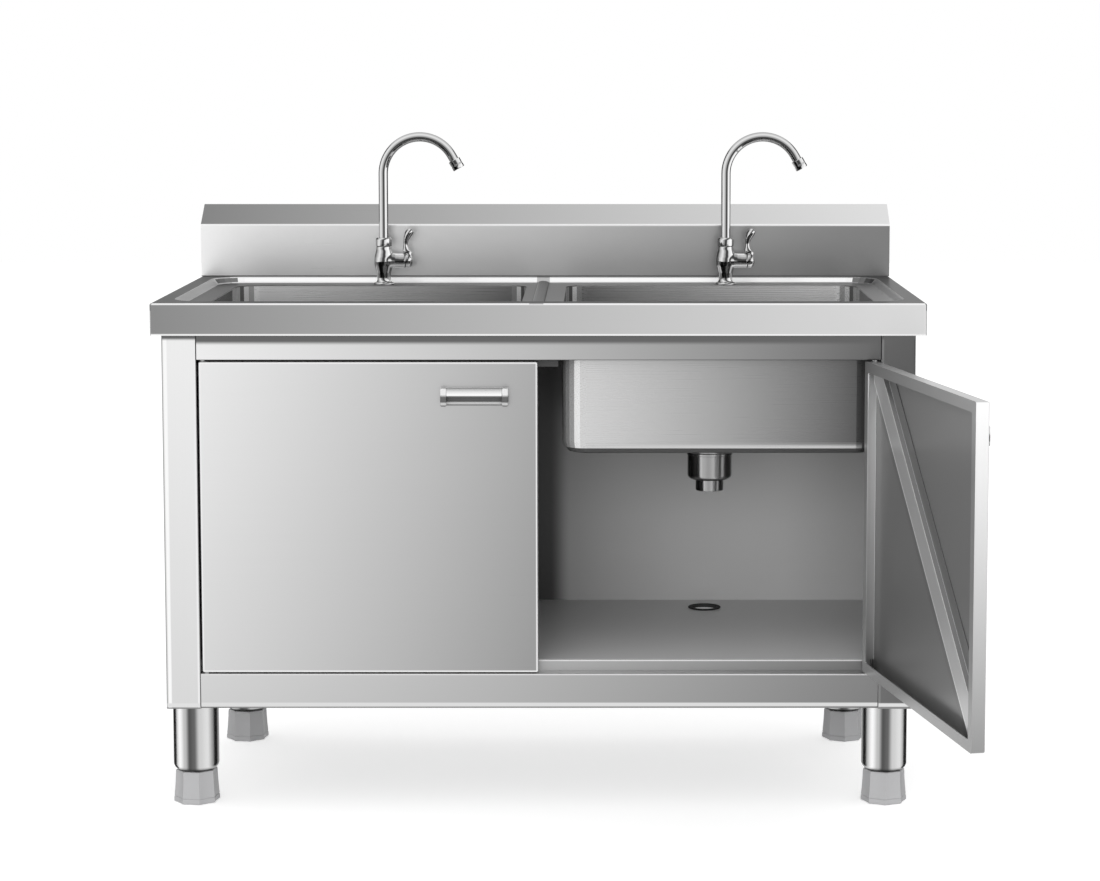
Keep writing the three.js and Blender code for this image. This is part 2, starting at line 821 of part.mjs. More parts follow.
// The swan neck and the aerator on its end, which point to the unit's right.
function spout(side, foot, tap) {
  const neck = new THREE.Group();
  neck.position.set(0, 0, foot);
  tap.add(neck);
  const bendCentre = new THREE.Vector3(spoutBendRadius, 0, spoutStraightLength);
  const onBend = (degrees) => {
    const a = rad(180 - degrees);
    return new THREE.Vector3(spoutBendRadius * Math.cos(a), 0, spoutBendRadius * Math.sin(a)).add(bendCentre);
  };
  const points = [new THREE.Vector3(0, 0, 0)];
  for (let i = 0; i <= bendSteps; i++) points.push(onBend((spoutTurn * i) / bendSteps));
  const heading = new THREE.Vector3(Math.sin(rad(spoutTurn)), 0, Math.cos(rad(spoutTurn)));
  const end = points[points.length - 1].clone().addScaledVector(heading, spoutEndLength);
  points.push(end);
  part(`spout_${side}`, sweep(points, spoutRadius), 'chrome', neck);

  const nozzle = turned([
    [spoutRadius + weldGap, -aeratorSleeve],
    [aeratorRadius, -aeratorSleeve],
    [aeratorRadius, aeratorLength - aeratorSleeve],
    [aeratorBore, aeratorLength - aeratorSleeve],
    [aeratorBore, weldGap],
    [spoutRadius + weldGap, weldGap],
  ], smallSides);
  const mesh = part(`aerator_${side}`, nozzle, 'chrome', neck);
  mesh.position.copy(end);
  mesh.rotation.y = rad(spoutTurn);
}

// A round bar through points that lie in one upright plane across the unit.
function sweep(points, radius) {
  const sides = tubeSides;
  return skin(points.map((p, i) => {
    const before = points[Math.max(i - 1, 0)];
    const after = points[Math.min(i + 1, points.length - 1)];
    const heading = after.clone().sub(before).normalize();
    const across = new THREE.Vector3(heading.z, 0, -heading.x);
    return Array.from({ length: sides }, (_, k) => {
      const a = (2 * Math.PI * k) / sides;
      const side = new THREE.Vector3(0, radius * Math.sin(a), 0);
      return p.clone().addScaledVector(across, radius * Math.cos(a)).add(side);
    });
  }));
}

// ---------------------------------------------------------------- doors

// The right door, drawn shut and lying on its back with its hinge axis at the origin:
// x runs away from the free edge, y is the height above the floor and z points out of the front.
const outerFace = hingeInset;
const innerFace = hingeInset - doorThickness;
const uprightAxis = new THREE.Matrix4().makeRotationX(-Math.PI / 2);

function doorPan() {
  const edges = (inset) => [[doorFree + inset, hingeInset - inset], [doorBottom + inset, doorTop - inset]];
  const shell = softBlock(...edges(0), [innerFace, outerFace], doorCorner, doorFold);
  const hollow = softBlock(...edges(doorSheet), [innerFace + doorSheet, outerFace - doorSheet],
    doorCorner - doorSheet, doorFold - doorSheet);
  const mouth = softBlock(...edges(doorSheet + doorLip), [innerFace - holeGap, innerFace + 2 * doorSheet],
    doorCorner);
  const reach = 2 * doorSheet;
  const pinHole = (y) =>
    cylinder(pinRadius + turnGap, -reach, reach, smallSides, at(0, y).multiply(uprightAxis));
  return shell.subtract(hollow).subtract(mouth).subtract(pinHole(doorTop)).subtract(pinHole(doorBottom));
}

// A hat section across the pan, from the top hinge corner to the bottom free corner.
function doorBrace() {
  const seat = outerFace - doorSheet - weldGap;
  const crown = seat - braceHeight;
  const half = braceCrown / 2;
  const foot = half + braceWeb;
  const hat = bentSheet([
    [foot + braceFlange, seat],
    [foot, seat],
    [half, crown],
    [-half, crown],
    [-foot, seat],
    [-foot - braceFlange, seat],
  ], braceSheet, braceFold);
  const inset = doorFold + weldGap;
  const [x0, x1] = [doorFree + inset, hingeInset - braceEndGap];
  const [y0, y1] = [doorBottom + inset, doorTop - inset];
  const along = new THREE.Vector3(x0 - x1, y0 - y1, 0).normalize();
  const out = new THREE.Vector3(0, 0, 1);
  const place = new THREE.Matrix4().makeBasis(out.clone().cross(along), out, along);
  place.setPosition((x0 + x1) / 2, (y0 + y1) / 2, 0);
  const length = Math.hypot(x1 - x0, y1 - y0);
  const room = box([x0, x1], [y0, y1], [innerFace + inset, seat + holeGap]);
  return prism(hat, -length, length, place).intersect(room);
}

const handleLeft = doorFree + handleFromEdge;
const handleRight = handleLeft + handleWidth;
const handleTop = doorTop - handleFromTop;
const handleBottom = handleTop - handleHeight;
const handleSeat = outerFace + weldGap;

// A plate with a block at each end and a small lip along its lower edge, in one moulding.
function handleBracket() {
  const height = [handleBottom, handleTop];
  const plate = box([handleLeft, handleRight], height, [handleSeat, handleSeat + handlePlate]);
  const end = (x) => softBlock([x, x + handleEnd], height, [handleSeat, handleSeat + handleReach],
    handleRound, handleRound - seam);
  const lipBottom = handleBottom + handlePlate;
  const lip = box([handleLeft + handleEnd / 2, handleRight - handleEnd / 2],
    [lipBottom, lipBottom + lipHeight], [handleSeat, handleSeat + lipReach]);
  return plate.add(end(handleLeft)).add(end(handleRight - handleEnd)).add(lip);
}

// The hood between the end blocks, behind which the fingers go from below.
function handleGrip() {
  const upper = handleTop - weldGap;
  const front = handleSeat + handleReach;
  const hood = bentSheet([
    [upper, handleSeat + handlePlate + weldGap],
    [upper, front],
    [upper - hoodHeight, front],
  ], handleSheet, hoodRadius);
  return prism(hood, handleLeft + handleEnd + weldGap, handleRight - handleEnd - weldGap, alongX);
}

// A pin with its head behind the rail's flange and a collar between the rail and the door.
// upwards is 1 where the pin points up into the door and -1 where it points down.
function hingePin(name, railFace, upwards, parent) {
  const collarTop = doorEndGap - turnGap;
  const tip = doorEndGap + pinReach;
  const profile = [
    [0, -panelSheet - pinHeadHeight],
    [pinHeadRadius, -panelSheet - pinHeadHeight],
    [pinHeadRadius, -panelSheet],
    [pinRadius, -panelSheet],
    [pinRadius, 0],
    [pinCollarRadius, 0],
    [pinCollarRadius, collarTop],
    [pinRadius, collarTop],
    [pinRadius, tip],
    [0, tip],
  ].map(([r, out]) => [r, railFace + upwards * out]);
  if (upwards < 0) profile.reverse();
  part(name, turned(profile, smallSides), 'polishedSteel', parent).position.set(hingeX, hingeY, 0);
}

// One side of the cabinet with its door, drawn as the right one and mirrored for the left.
function cabinetSide(side, opening) {
  const half = new THREE.Group();
  half.scale.x = side === 'left' ? -1 : 1;
  unit.add(half);
  sidePanel(side, half);
  hingePin(`hinge_pin_upper_${side}`, topRailBottom, -1, half);
  hingePin(`hinge_pin_lower_${side}`, bottomRailTop, 1, half);

  const hinge = new THREE.Group();
  hinge.position.set(hingeX, hingeY, 0);
  hinge.rotation.z = rad(opening);
  half.add(hinge);
  const lying = new THREE.Group();
  lying.rotation.x = Math.PI / 2;
  hinge.add(lying);
  part(`door_${side}`, doorPan(), 'satinSteel', lying);
  part(`door_brace_${side}`, doorBrace(), 'innerSteel', lying);
  part(`handle_bracket_${side}`, handleBracket(), 'darkPlastic', lying);
  part(`handle_grip_${side}`, handleGrip(), 'polishedSteel', lying);
}

// ---------------------------------------------------------------- the whole unit

sinkDeck();
splashback();
deckBrace();
backPanel();
rail('top_rail', topRailBottom, rimUnder, innerLip, panelFold, topRailBottom);
rail('bottom_rail', baseHeight, bottomRailTop, innerLip, bottomRailFold, bottomRailTop);
bottomShelf();
doorCatch();
legsAndFeet();
for (const side of ['left', 'right']) {
  bowl(side);
  pipeGrommet(side);
  drainSet(side);
  tapSet(side);
}
cabinetSide('left', 0);
cabinetSide('right', doorOpening);

unit.updateMatrixWorld(true);
const bounds = new THREE.Box3().setFromObject(unit, true);
const middle = bounds.getCenter(new THREE.Vector3());
unit.position.set(-middle.x, -middle.y, -bounds.min.z);

export default unit;
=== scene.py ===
import json
import math

import bmesh
import bpy
from mathutils import Matrix, Vector


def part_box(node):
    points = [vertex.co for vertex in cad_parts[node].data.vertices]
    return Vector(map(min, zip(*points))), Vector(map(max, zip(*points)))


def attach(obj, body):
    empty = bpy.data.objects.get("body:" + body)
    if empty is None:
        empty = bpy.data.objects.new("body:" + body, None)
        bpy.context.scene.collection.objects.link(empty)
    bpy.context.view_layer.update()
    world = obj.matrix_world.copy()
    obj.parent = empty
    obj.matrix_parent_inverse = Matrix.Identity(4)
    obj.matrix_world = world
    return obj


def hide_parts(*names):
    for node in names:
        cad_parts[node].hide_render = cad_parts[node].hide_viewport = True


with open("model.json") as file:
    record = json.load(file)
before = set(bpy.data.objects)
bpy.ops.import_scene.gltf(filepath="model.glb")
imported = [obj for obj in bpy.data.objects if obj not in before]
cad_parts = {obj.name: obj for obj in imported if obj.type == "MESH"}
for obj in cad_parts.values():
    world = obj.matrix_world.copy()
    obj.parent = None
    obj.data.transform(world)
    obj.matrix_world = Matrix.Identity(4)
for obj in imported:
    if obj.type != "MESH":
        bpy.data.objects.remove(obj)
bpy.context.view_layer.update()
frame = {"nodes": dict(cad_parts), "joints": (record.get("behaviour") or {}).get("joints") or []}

NODES = frame["nodes"]
SIDES = ("left", "right")
LEGS = ("front_left", "front_right", "rear_left", "rear_right")
MM = 0.001

X, Y, UP = (1, 0, 0), (0, 1, 0), (0, 0, 1)
FRONT, DOWN = (0, -1, 0), (0, 0, -1)


# ------------------------------------------------------------------ places worked out from the frame

def middle(node):
    low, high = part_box(node)
    return (low + high) / 2


def joint_point(name):
    return Vector(next(joint["pos_m"] for joint in frame["joints"] if joint["name"] == name))


DECK_LOW, DECK_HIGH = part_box("sink_deck")
UNIT_X = (DECK_LOW.x + DECK_HIGH.x) / 2
FASCIA_Y = DECK_LOW.y
WORKTOP = DECK_HIGH.z
TRAY_DROP = 10 * MM
TRAY_TOP = WORKTOP - TRAY_DROP
SPLASH_FACE_HEIGHT = 90 * MM
CREASE = WORKTOP + SPLASH_FACE_HEIGHT
BODY_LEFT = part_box("side_panel_left")[0].x
BODY_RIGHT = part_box("side_panel_right")[1].x
POST_WIDTH = 54 * MM
BODY_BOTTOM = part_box("side_panel_left")[0].z

# The right door stands open: along it from hinge to free edge, and out of its outer face.
DOOR_OPENING = math.radians(101)
HINGE = {side: joint_point(f"door_{side}_hinge") for side in SIDES}
DOOR_ALONG = {"left": Vector(X), "right": Vector((-math.cos(DOOR_OPENING), -math.sin(DOOR_OPENING), 0))}
DOOR_OUT = {"left": Vector(FRONT), "right": Vector((math.sin(DOOR_OPENING), -math.cos(DOOR_OPENING), 0))}
HINGE_TO_EDGE = 6 * MM
DOOR_WIDTH = 526.5 * MM
DOOR_LOW_Z, DOOR_HIGH_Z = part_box("door_left")[0].z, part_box("door_left")[1].z


# ------------------------------------------------------------------ camera, as the photograph was taken

PHOTO_WIDTH, PHOTO_HEIGHT = 1100, 881
FOCAL_PIXELS = 2689.94
OPTICAL_AXIS_PIXEL = (599.1, 329.4)
CAMERA_RIGHT_OF_MIDDLE = 93.8 * MM
CAMERA_BEFORE_FASCIA = 4130.6 * MM
CAMERA_HEIGHT = 1157.5 * MM
CAMERA_PITCH = math.radians(5.5)
SENSOR_MM = 36


def photo_camera():
    data = bpy.data.cameras.new("photo_camera")
    data.sensor_fit = "HORIZONTAL"
    data.sensor_width = SENSOR_MM
    data.lens = FOCAL_PIXELS * SENSOR_MM / PHOTO_WIDTH
    data.shift_x = (PHOTO_WIDTH / 2 - OPTICAL_AXIS_PIXEL[0]) / PHOTO_WIDTH
    data.shift_y = (OPTICAL_AXIS_PIXEL[1] - PHOTO_HEIGHT / 2) / PHOTO_WIDTH
    data.clip_start, data.clip_end = 0.05, 100
    camera = bpy.data.objects.new("photo_camera", data)
    camera.location = (UNIT_X + CAMERA_RIGHT_OF_MIDDLE, FASCIA_Y - CAMERA_BEFORE_FASCIA, CAMERA_HEIGHT)
    camera.rotation_euler = (math.pi / 2 - CAMERA_PITCH, 0, 0)
    bpy.context.scene.collection.objects.link(camera)
    bpy.context.scene.camera = camera


# ------------------------------------------------------------------ shader helpers

FLOAT, COLOUR, VECTOR = "NodeSocketFloat", "NodeSocketColor", "NodeSocketVector"


def linear(tone):
    """The linear value of a screen tone from 0 to 255."""
    share = tone / 255
    return share / 12.92 if share <= 0.04045 else ((share + 0.055) / 1.055) ** 2.4


def put(tree, socket, value):
    """Links a socket to another, or sets its value."""
    if isinstance(value, bpy.types.NodeSocket):
        tree.links.new(value, socket)
    else:
        socket.default_value = value


def add_node(tree, kind, inputs=None, **settings):
    """One shader node, with its settings and its input values or the sockets that feed them."""
    node = tree.nodes.new(kind)
    for name, value in settings.items():
        setattr(node, name, value)
    for name, value in (inputs or {}).items():
        put(tree, node.inputs[name], value)
    return node


def maths(tree, operation, *values):
    return add_node(tree, "ShaderNodeMath", dict(enumerate(values)), operation=operation).outputs[0]


def along(tree, vector, axis):
    """How far a vector reaches along an axis."""
    return add_node(tree, "ShaderNodeVectorMath", {0: vector, 1: axis},
                    operation="DOT_PRODUCT").outputs["Value"]


def between(tree, value, low, high, to_low=0.0, to_high=1.0, kind="SMOOTHSTEP"):
    """value mapped from low..high to to_low..to_high."""
    inputs = {"Value": value, "From Min": low, "From Max": high, "To Min": to_low, "To Max": to_high}
    return add_node(tree, "ShaderNodeMapRange", inputs, interpolation_type=kind).outputs["Result"]


def mix(tree, share, first, second):
    return add_node(tree, "ShaderNodeMix", {0: share, 2: first, 3: second}).outputs[0]


def ramp(tree, value, stops, low=-1.0, high=1.0):
    """A tone that follows a few stops of (place, screen tone), with places from low to high."""
    scaled = between(tree, value, low, high, kind="LINEAR")
    node = add_node(tree, "ShaderNodeValToRGB", {"Fac": scaled})
    node.color_ramp.interpolation = "EASE"
    marks = node.color_ramp.elements
    while len(marks) < len(stops):
        marks.new(0.5)
    for mark, (place, tone) in zip(marks, stops):
        mark.position = (place - low) / (high - low)
        mark.color = (linear(tone),) * 3 + (1,)
    return add_node(tree, "ShaderNodeSeparateColor", {"Color": node.outputs["Color"]}).outputs["Red"]


def new_group(name, inputs, outputs):
    """An empty node group with named sockets, the sockets of its input node and its output node."""
    tree = bpy.data.node_groups.new(name, "ShaderNodeTree")
    for label, kind, value in inputs:
        tree.interface.new_socket(label, in_out="INPUT", socket_type=kind).default_value = value
    for label, kind in outputs:
        tree.interface.new_socket(label, in_out="OUTPUT", socket_type=kind)
    return tree, tree.nodes.new("NodeGroupInput").outputs, tree.nodes.new("NodeGroupOutput").inputs


def use_group(tree, group, **inputs):
    node = tree.nodes.new("ShaderNodeGroup")
    node.node_tree = group
    for name, value in inputs.items():
        put(tree, node.inputs[name.replace("_", " ")], value)
    return node.outputs


# ------------------------------------------------------------------ node groups

def painted_sweep_group():
    """A painted sweep of reflected light and shade: a tone that runs smoothly over a face, between the tones
    of its four corners.
    """
    tree, given, result = new_group(
        "painted_sweep",
        [("Position", VECTOR, (0, 0, 0)), ("U Axis", VECTOR, X), ("U From", FLOAT, 0), ("U To", FLOAT, 1),
         ("V Axis", VECTOR, UP), ("V From", FLOAT, 0), ("V To", FLOAT, 1), ("Low", FLOAT, 0.5),
         ("Low End", FLOAT, 0.5), ("High", FLOAT, 0.5), ("High End", FLOAT, 0.5)],
        [("Tone", FLOAT)],
    )
    u = between(tree, along(tree, given["Position"], given["U Axis"]), given["U From"], given["U To"],
                kind="LINEAR")
    v = between(tree, along(tree, given["Position"], given["V Axis"]), given["V From"], given["V To"],
                kind="LINEAR")
    low = mix(tree, u, given["Low"], given["Low End"])
    high = mix(tree, u, given["High"], given["High End"])
    put(tree, result["Tone"], mix(tree, v, low, high))
    return tree


def painted_line_group():
    """A line of another tone along a plane: a painted highlight along a folded edge, or painted shade beside
    a seam or under an overhang.
    """
    tree, given, result = new_group(
        "painted_line",
        [("Tone", FLOAT, 0.5), ("Position", VECTOR, (0, 0, 0)), ("Axis", VECTOR, UP), ("Place", FLOAT, 0),
         ("Width", FLOAT, 0.003), ("Edge Tone", FLOAT, 0.8)],
        [("Tone", FLOAT)],
    )
    reach = along(tree, given["Position"], given["Axis"])
    off = maths(tree, "ABSOLUTE", maths(tree, "SUBTRACT", reach, given["Place"]))
    inner = maths(tree, "MULTIPLY", given["Width"], 0.45)
    line = between(tree, off, inner, given["Width"], 1.0, 0.0)
    put(tree, result["Tone"], mix(tree, line, given["Tone"], given["Edge Tone"]))
    return tree


def facing_group():
    """One tone where the surface looks along an axis and another tone elsewhere: light and shade painted by
    the way the surface faces.
    """
    tree, given, result = new_group(
        "facing",
        [("Elsewhere", FLOAT, 0.5), ("Facing Tone", FLOAT, 0.5), ("Normal", VECTOR, UP), ("Axis", VECTOR, UP),
         ("Begins", FLOAT, 0.9), ("Full", FLOAT, 0.97)],
        [("Tone", FLOAT)],
    )
    share = between(tree, along(tree, given["Normal"], given["Axis"]), given["Begins"], given["Full"])
    put(tree, result["Tone"], mix(tree, share, given["Elsewhere"], given["Facing Tone"]))
    return tree


def rolled_grain_group():
    """Fine rolling lines along one axis, with broad soft clouds: a height, a tone factor and a roughness."""
    tree, given, result = new_group(
        "rolled_grain",
        [("Position", VECTOR, (0, 0, 0)), ("Line Scale", VECTOR, (3, 900, 900)), ("Tone Change", FLOAT, 0.03),
         ("Roughness", FLOAT, 0.3), ("Roughness Change", FLOAT, 0.08)],
        [("Height", FLOAT), ("Tone Factor", FLOAT), ("Roughness", FLOAT)],
    )
    scaled = add_node(tree, "ShaderNodeVectorMath", {0: given["Position"], 1: given["Line Scale"]},
                      operation="MULTIPLY").outputs[0]
    lines = add_node(tree, "ShaderNodeTexNoise", {"Vector": scaled, "Scale": 1, "Detail": 3}).outputs["Fac"]
    clouds = add_node(tree, "ShaderNodeTexNoise",
                      {"Vector": given["Position"], "Scale": 4, "Detail": 2}).outputs["Fac"]
    fine = maths(tree, "SUBTRACT", lines, 0.5)
    broad = maths(tree, "SUBTRACT", clouds, 0.5)
    both = maths(tree, "MULTIPLY_ADD", broad, 0.6, fine)
    put(tree, result["Height"], fine)
    put(tree, result["Tone Factor"], maths(tree, "MULTIPLY_ADD", both, given["Tone Change"], 1.0))
    rough = maths(tree, "MULTIPLY_ADD", both, given["Roughness Change"], given["Roughness"])
    put(tree, result["Roughness"], maths(tree, "MAXIMUM", rough, 0.02))
    return tree


def tinted_grey_group():
    """A nearly neutral grey made from one tone."""
    tree, given, result = new_group(
        "tinted_grey",
        [("Tone", FLOAT, 0.5), ("Tint", COLOUR, (1, 1, 1, 1))],
        [("Colour", COLOUR)],
    )
    scaled = add_node(tree, "ShaderNodeVectorMath", {0: given["Tint"], "Scale": given["Tone"]},
                      operation="SCALE")
    put(tree, result["Colour"], scaled.outputs["Vector"])
    return tree


PAINTED_SWEEP = painted_sweep_group()
PAINTED_LINE = painted_line_group()
FACING = facing_group()
ROLLED_GRAIN = rolled_grain_group()
TINTED_GREY = tinted_grey_group()


# ------------------------------------------------------------------ tones over a surface, with light and shade painted in

def painted_sweep_tones(tree, spot, corners, u, v):
    """Paints a sweep of light and shade over a face. corners are the tones at low u and v, high u, high v and
    both high. u and v are (axis, from, to).
    """
    low, low_end, high, high_end = (linear(tone) for tone in corners)
    return use_group(tree, PAINTED_SWEEP, Position=spot, U_Axis=u[0], U_From=u[1], U_To=u[2], V_Axis=v[0],
                     V_From=v[1],
                     V_To=v[2], Low=low, Low_End=low_end, High=high, High_End=high_end)["Tone"]


# Paints a highlight or a shade line along a plane.
def edge(tree, tone, spot, axis, place, width, edge_tone):
    return use_group(tree, PAINTED_LINE, Tone=tone, Position=spot, Axis=axis, Place=place, Width=width,
                     Edge_Tone=linear(edge_tone))["Tone"]


# Paints light or shade by the way the surface faces.
def toward(tree, tone, normal, axis, tone_there, begins=0.9, full=0.97):
    return use_group(tree, FACING, Elsewhere=tone, Facing_Tone=tone_there, Normal=normal, Axis=axis,
                     Begins=begins, Full=full)["Tone"]


def across(node):
    low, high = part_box(node)
    return (X, low.x, high.x)


def upright(node):
    low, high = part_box(node)
    return (UP, low.z, high.z)


def deep(node):
    low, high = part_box(node)
    return (Y, low.y, high.y)


# ------------------------------------------------------------------ materials

ALONG_X = (4, 1100, 1100)
ALONG_Z = (1100, 1100, 4)
NO_TINT = (1, 1, 1, 1)


def blank_material(name, **constants):
    material = bpy.data.materials.new(name)
    material.use_nodes = True
    tree = material.node_tree
    shader = tree.nodes["Principled BSDF"]
    for socket, value in constants.items():
        shader.inputs[socket.replace("_", " ")].default_value = value
    return material, tree, shader


def steel(name, paint, roughness=0.3, grain=ALONG_X, tint=NO_TINT, metallic=1.0, bump=0.15, edge_tint=1.0):
    """Rolled or polished steel. paint gives the tone from the surface's place and normal, with reflected
    light and shade painted into it.
    """
    material, tree, shader = blank_material(name, Metallic=metallic, Specular_Tint=(edge_tint,) * 3 + (1,))
    sockets = add_node(tree, "ShaderNodeTexCoord").outputs
    spot, normal = sockets["Object"], sockets["Normal"]
    grained = use_group(tree, ROLLED_GRAIN, Position=spot, Line_Scale=grain, Roughness=roughness,
                        Roughness_Change=roughness * 0.25)
    tone = maths(tree, "MULTIPLY", paint(tree, spot, normal), grained["Tone Factor"])
    put(tree, shader.inputs["Base Color"], use_group(tree, TINTED_GREY, Tone=tone, Tint=tint)["Colour"])
    put(tree, shader.inputs["Roughness"], grained["Roughness"])
    height = add_node(tree, "ShaderNodeBump",
                      {"Height": grained["Height"], "Strength": bump, "Distance": 0.0002})
    put(tree, shader.inputs["Normal"], height.outputs["Normal"])
    return material


def plastic(name, paint, roughness=0.5, tint=NO_TINT, speckle=0.05):
    """Moulded plastic or rubber with a fine skin."""
    material, tree, shader = blank_material(name)
    sockets = add_node(tree, "ShaderNodeTexCoord").outputs
    spot, normal = sockets["Object"], sockets["Normal"]
    skin = add_node(tree, "ShaderNodeTexNoise", {"Vector": spot, "Scale": 900, "Detail": 2}).outputs["Fac"]
    swing = maths(tree, "SUBTRACT", skin, 0.5)
    tone = maths(tree, "MULTIPLY", paint(tree, spot, normal),
                 maths(tree, "MULTIPLY_ADD", swing, speckle, 1.0))
    put(tree, shader.inputs["Base Color"], use_group(tree, TINTED_GREY, Tone=tone, Tint=tint)["Colour"])
    put(tree, shader.inputs["Roughness"], maths(tree, "MULTIPLY_ADD", swing, 0.2, roughness))
    height = add_node(tree, "ShaderNodeBump", {"Height": skin, "Strength": 0.2, "Distance": 0.0001})
    put(tree, shader.inputs["Normal"], height.outputs["Normal"])
    return material


def plain(tone):
    def paint(tree, spot, normal):
        return maths(tree, "ADD", linear(tone), 0.0)
    return paint


def bands(stops, axis=X, under=None):
    """Painted reflection bands that run round a turned piece, by where its surface looks along an axis. under
    is the tone of the painted shade that an underside falls to."""
    def paint(tree, spot, normal):
        tone = ramp(tree, along(tree, normal, axis), stops)
        if under is None:
            return tone
        return mix(tree, between(tree, along(tree, normal, UP), -0.95, -0.2, 1.0, 0.0), tone, linear(under))
    return paint


# ---- the worktop and splashback

# The painted highlight along the fascia's folds: its tone and width.
RIM_LIGHT = 238
FOLD_LINE = 3.4 * MM
BEAD_X = UNIT_X - 3 * MM
BEAD_WIDTH = 20 * MM


def paint_deck(tree, spot, normal):
    # Painted light on the worktop: a sweep of reflected light over the fascia with painted highlights along
    # its folds, painted sweeps over the rim and tray, painted reflections on the tray's slopes and the bead,
    # and painted shade underneath.
    ends = across("sink_deck")
    fascia = painted_sweep_tones(tree, spot, (140, 222, 140, 222), ends, upright("sink_deck"))
    fascia = edge(tree, fascia, spot, UP, WORKTOP, FOLD_LINE, RIM_LIGHT)
    fascia = edge(tree, fascia, spot, UP, DECK_LOW.z, FOLD_LINE, 245)
    rim = painted_sweep_tones(tree, spot, (118, 160, 118, 160), ends, deep("sink_deck"))
    tray = painted_sweep_tones(tree, spot, (150, 240, 150, 240), ends, deep("sink_deck"))
    sunk = between(tree, along(tree, spot, UP), TRAY_TOP + 0.3 * MM, WORKTOP - 0.5 * MM, 1.0, 0.0)
    level = mix(tree, sunk, rim, tray)
    corner = maths(tree, "ABSOLUTE", maths(tree, "MULTIPLY", along(tree, normal, X), along(tree, normal, Y)))
    slope = mix(tree, between(tree, corner, 0.06, 0.16), linear(252), linear(120))
    bead = ramp(tree, along(tree, normal, X), [(-0.95, 70), (-0.6, 225), (-0.1, 190), (0.4, 180), (0.9, 90)])
    off_bead = maths(tree, "ABSOLUTE", maths(tree, "SUBTRACT", along(tree, spot, X), BEAD_X))
    on_bead = between(tree, off_bead, BEAD_WIDTH * 0.52, BEAD_WIDTH * 0.58, 1.0, 0.0)
    slope = mix(tree, on_bead, slope, bead)
    tone = toward(tree, slope, normal, UP, level, 0.975, 0.995)
    tone = mix(tree, maths(tree, "MULTIPLY", on_bead, sunk), tone, bead)
    low_enough = between(tree, along(tree, spot, UP), TRAY_TOP - 2 * MM, TRAY_TOP - 1 * MM, 1.0, 0.0)
    tone = mix(tree, low_enough, tone, linear(196))
    tone = toward(tree, tone, normal, FRONT, fascia, 0.86, 0.95)
    return toward(tree, tone, normal, DOWN, linear(95), 0.2, 0.6)


def paint_splash(tree, spot, normal):
    # Painted light on the splashback: a sweep of reflected light over its face and its leaning top, a painted
    # highlight along the crease, and a painted shade line at its foot.
    ends = across("splashback")
    face = painted_sweep_tones(tree, spot, (246, 134, 244, 128), ends, upright("splashback"))
    face = edge(tree, face, spot, UP, CREASE, 3 * MM, 250)
    face = edge(tree, face, spot, UP, WORKTOP, 2 * MM, 120)
    lean = painted_sweep_tones(tree, spot, (136, 226, 136, 226), ends, upright("splashback"))
    lean = edge(tree, lean, spot, UP, CREASE, 1.5 * MM, 250)
    tone = toward(tree, linear(150), normal, UP, lean, 0.35, 0.5)
    return toward(tree, tone, normal, FRONT, face, 0.9, 0.99)


# ---- the cabinet

def paint_post(tree, spot, normal):
    """The front posts and the sides behind them, with painted reflected light: light on the left and dark on
    the right, painted highlights and shade along the folded edges and foot, dark lines at the seams, and
    painted shade under the worktop.
    """
    left = painted_sweep_tones(tree, spot, (216, 216, 240, 240), across("side_panel_left"), upright("side_panel_left"))
    left = edge(tree, left, spot, X, BODY_LEFT + 6 * MM, 3.5 * MM, 250)
    left = edge(tree, left, spot, X, BODY_LEFT, 3 * MM, 175)
    left = edge(tree, left, spot, X, BODY_LEFT + POST_WIDTH - 3 * MM, 2 * MM, 238)
    right = painted_sweep_tones(tree, spot, (120, 104, 112, 102), across("side_panel_right"), upright("side_panel_right"))
    right = edge(tree, right, spot, X, BODY_RIGHT, 4 * MM, 78)
    right = edge(tree, right, spot, X, BODY_RIGHT - POST_WIDTH + 3 * MM, 2 * MM, 130)
    on_right = between(tree, along(tree, spot, X), UNIT_X - 10 * MM, UNIT_X + 10 * MM)
    front = mix(tree, on_right, left, right)
    front = edge(tree, front, spot, UP, BODY_BOTTOM + 6 * MM, 4 * MM, 225)
    front = edge(tree, front, spot, UP, BODY_BOTTOM, 3 * MM, 140)
    front = edge(tree, front, spot, X, BODY_LEFT + POST_WIDTH, 1.6 * MM, 40)
    front = edge(tree, front, spot, X, BODY_RIGHT - POST_WIDTH, 1.6 * MM, 40)
    front = edge(tree, front, spot, UP, DECK_LOW.z, 10 * MM, 105)
    return toward(tree, linear(165), normal, FRONT, front, 0.75, 0.9)


def paint_top_rail(tree, spot, normal):
    # A painted sweep of reflected light, painted shade under the worktop's overhang and a painted highlight
    # along the lower fold.
    front = painted_sweep_tones(tree, spot, (238, 106, 238, 106), across("top_rail"), upright("top_rail"))
    front = edge(tree, front, spot, UP, DECK_LOW.z - 3 * MM, 14 * MM, 105)
    front = edge(tree, front, spot, UP, DECK_LOW.z - POST_WIDTH, 14.5 * MM, 220)
    return toward(tree, linear(120), normal, FRONT, front, 0.8, 0.95)


def paint_bottom_rail(tree, spot, normal):
    # A painted sweep of reflected light, painted highlights along the top and foot, and painted shade on the
    # underside.
    front = painted_sweep_tones(tree, spot, (208, 128, 212, 132), across("bottom_rail"), upright("bottom_rail"))
    front = edge(tree, front, spot, UP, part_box("bottom_rail")[1].z, 3 * MM, 225)
    front = edge(tree, front, spot, UP, BODY_BOTTOM + 7 * MM, 4 * MM, 222)
    tone = between(tree, along(tree, normal, UP), -0.9, -0.2, linear(95), linear(225))
    return toward(tree, tone, normal, FRONT, front, 0.8, 0.97)


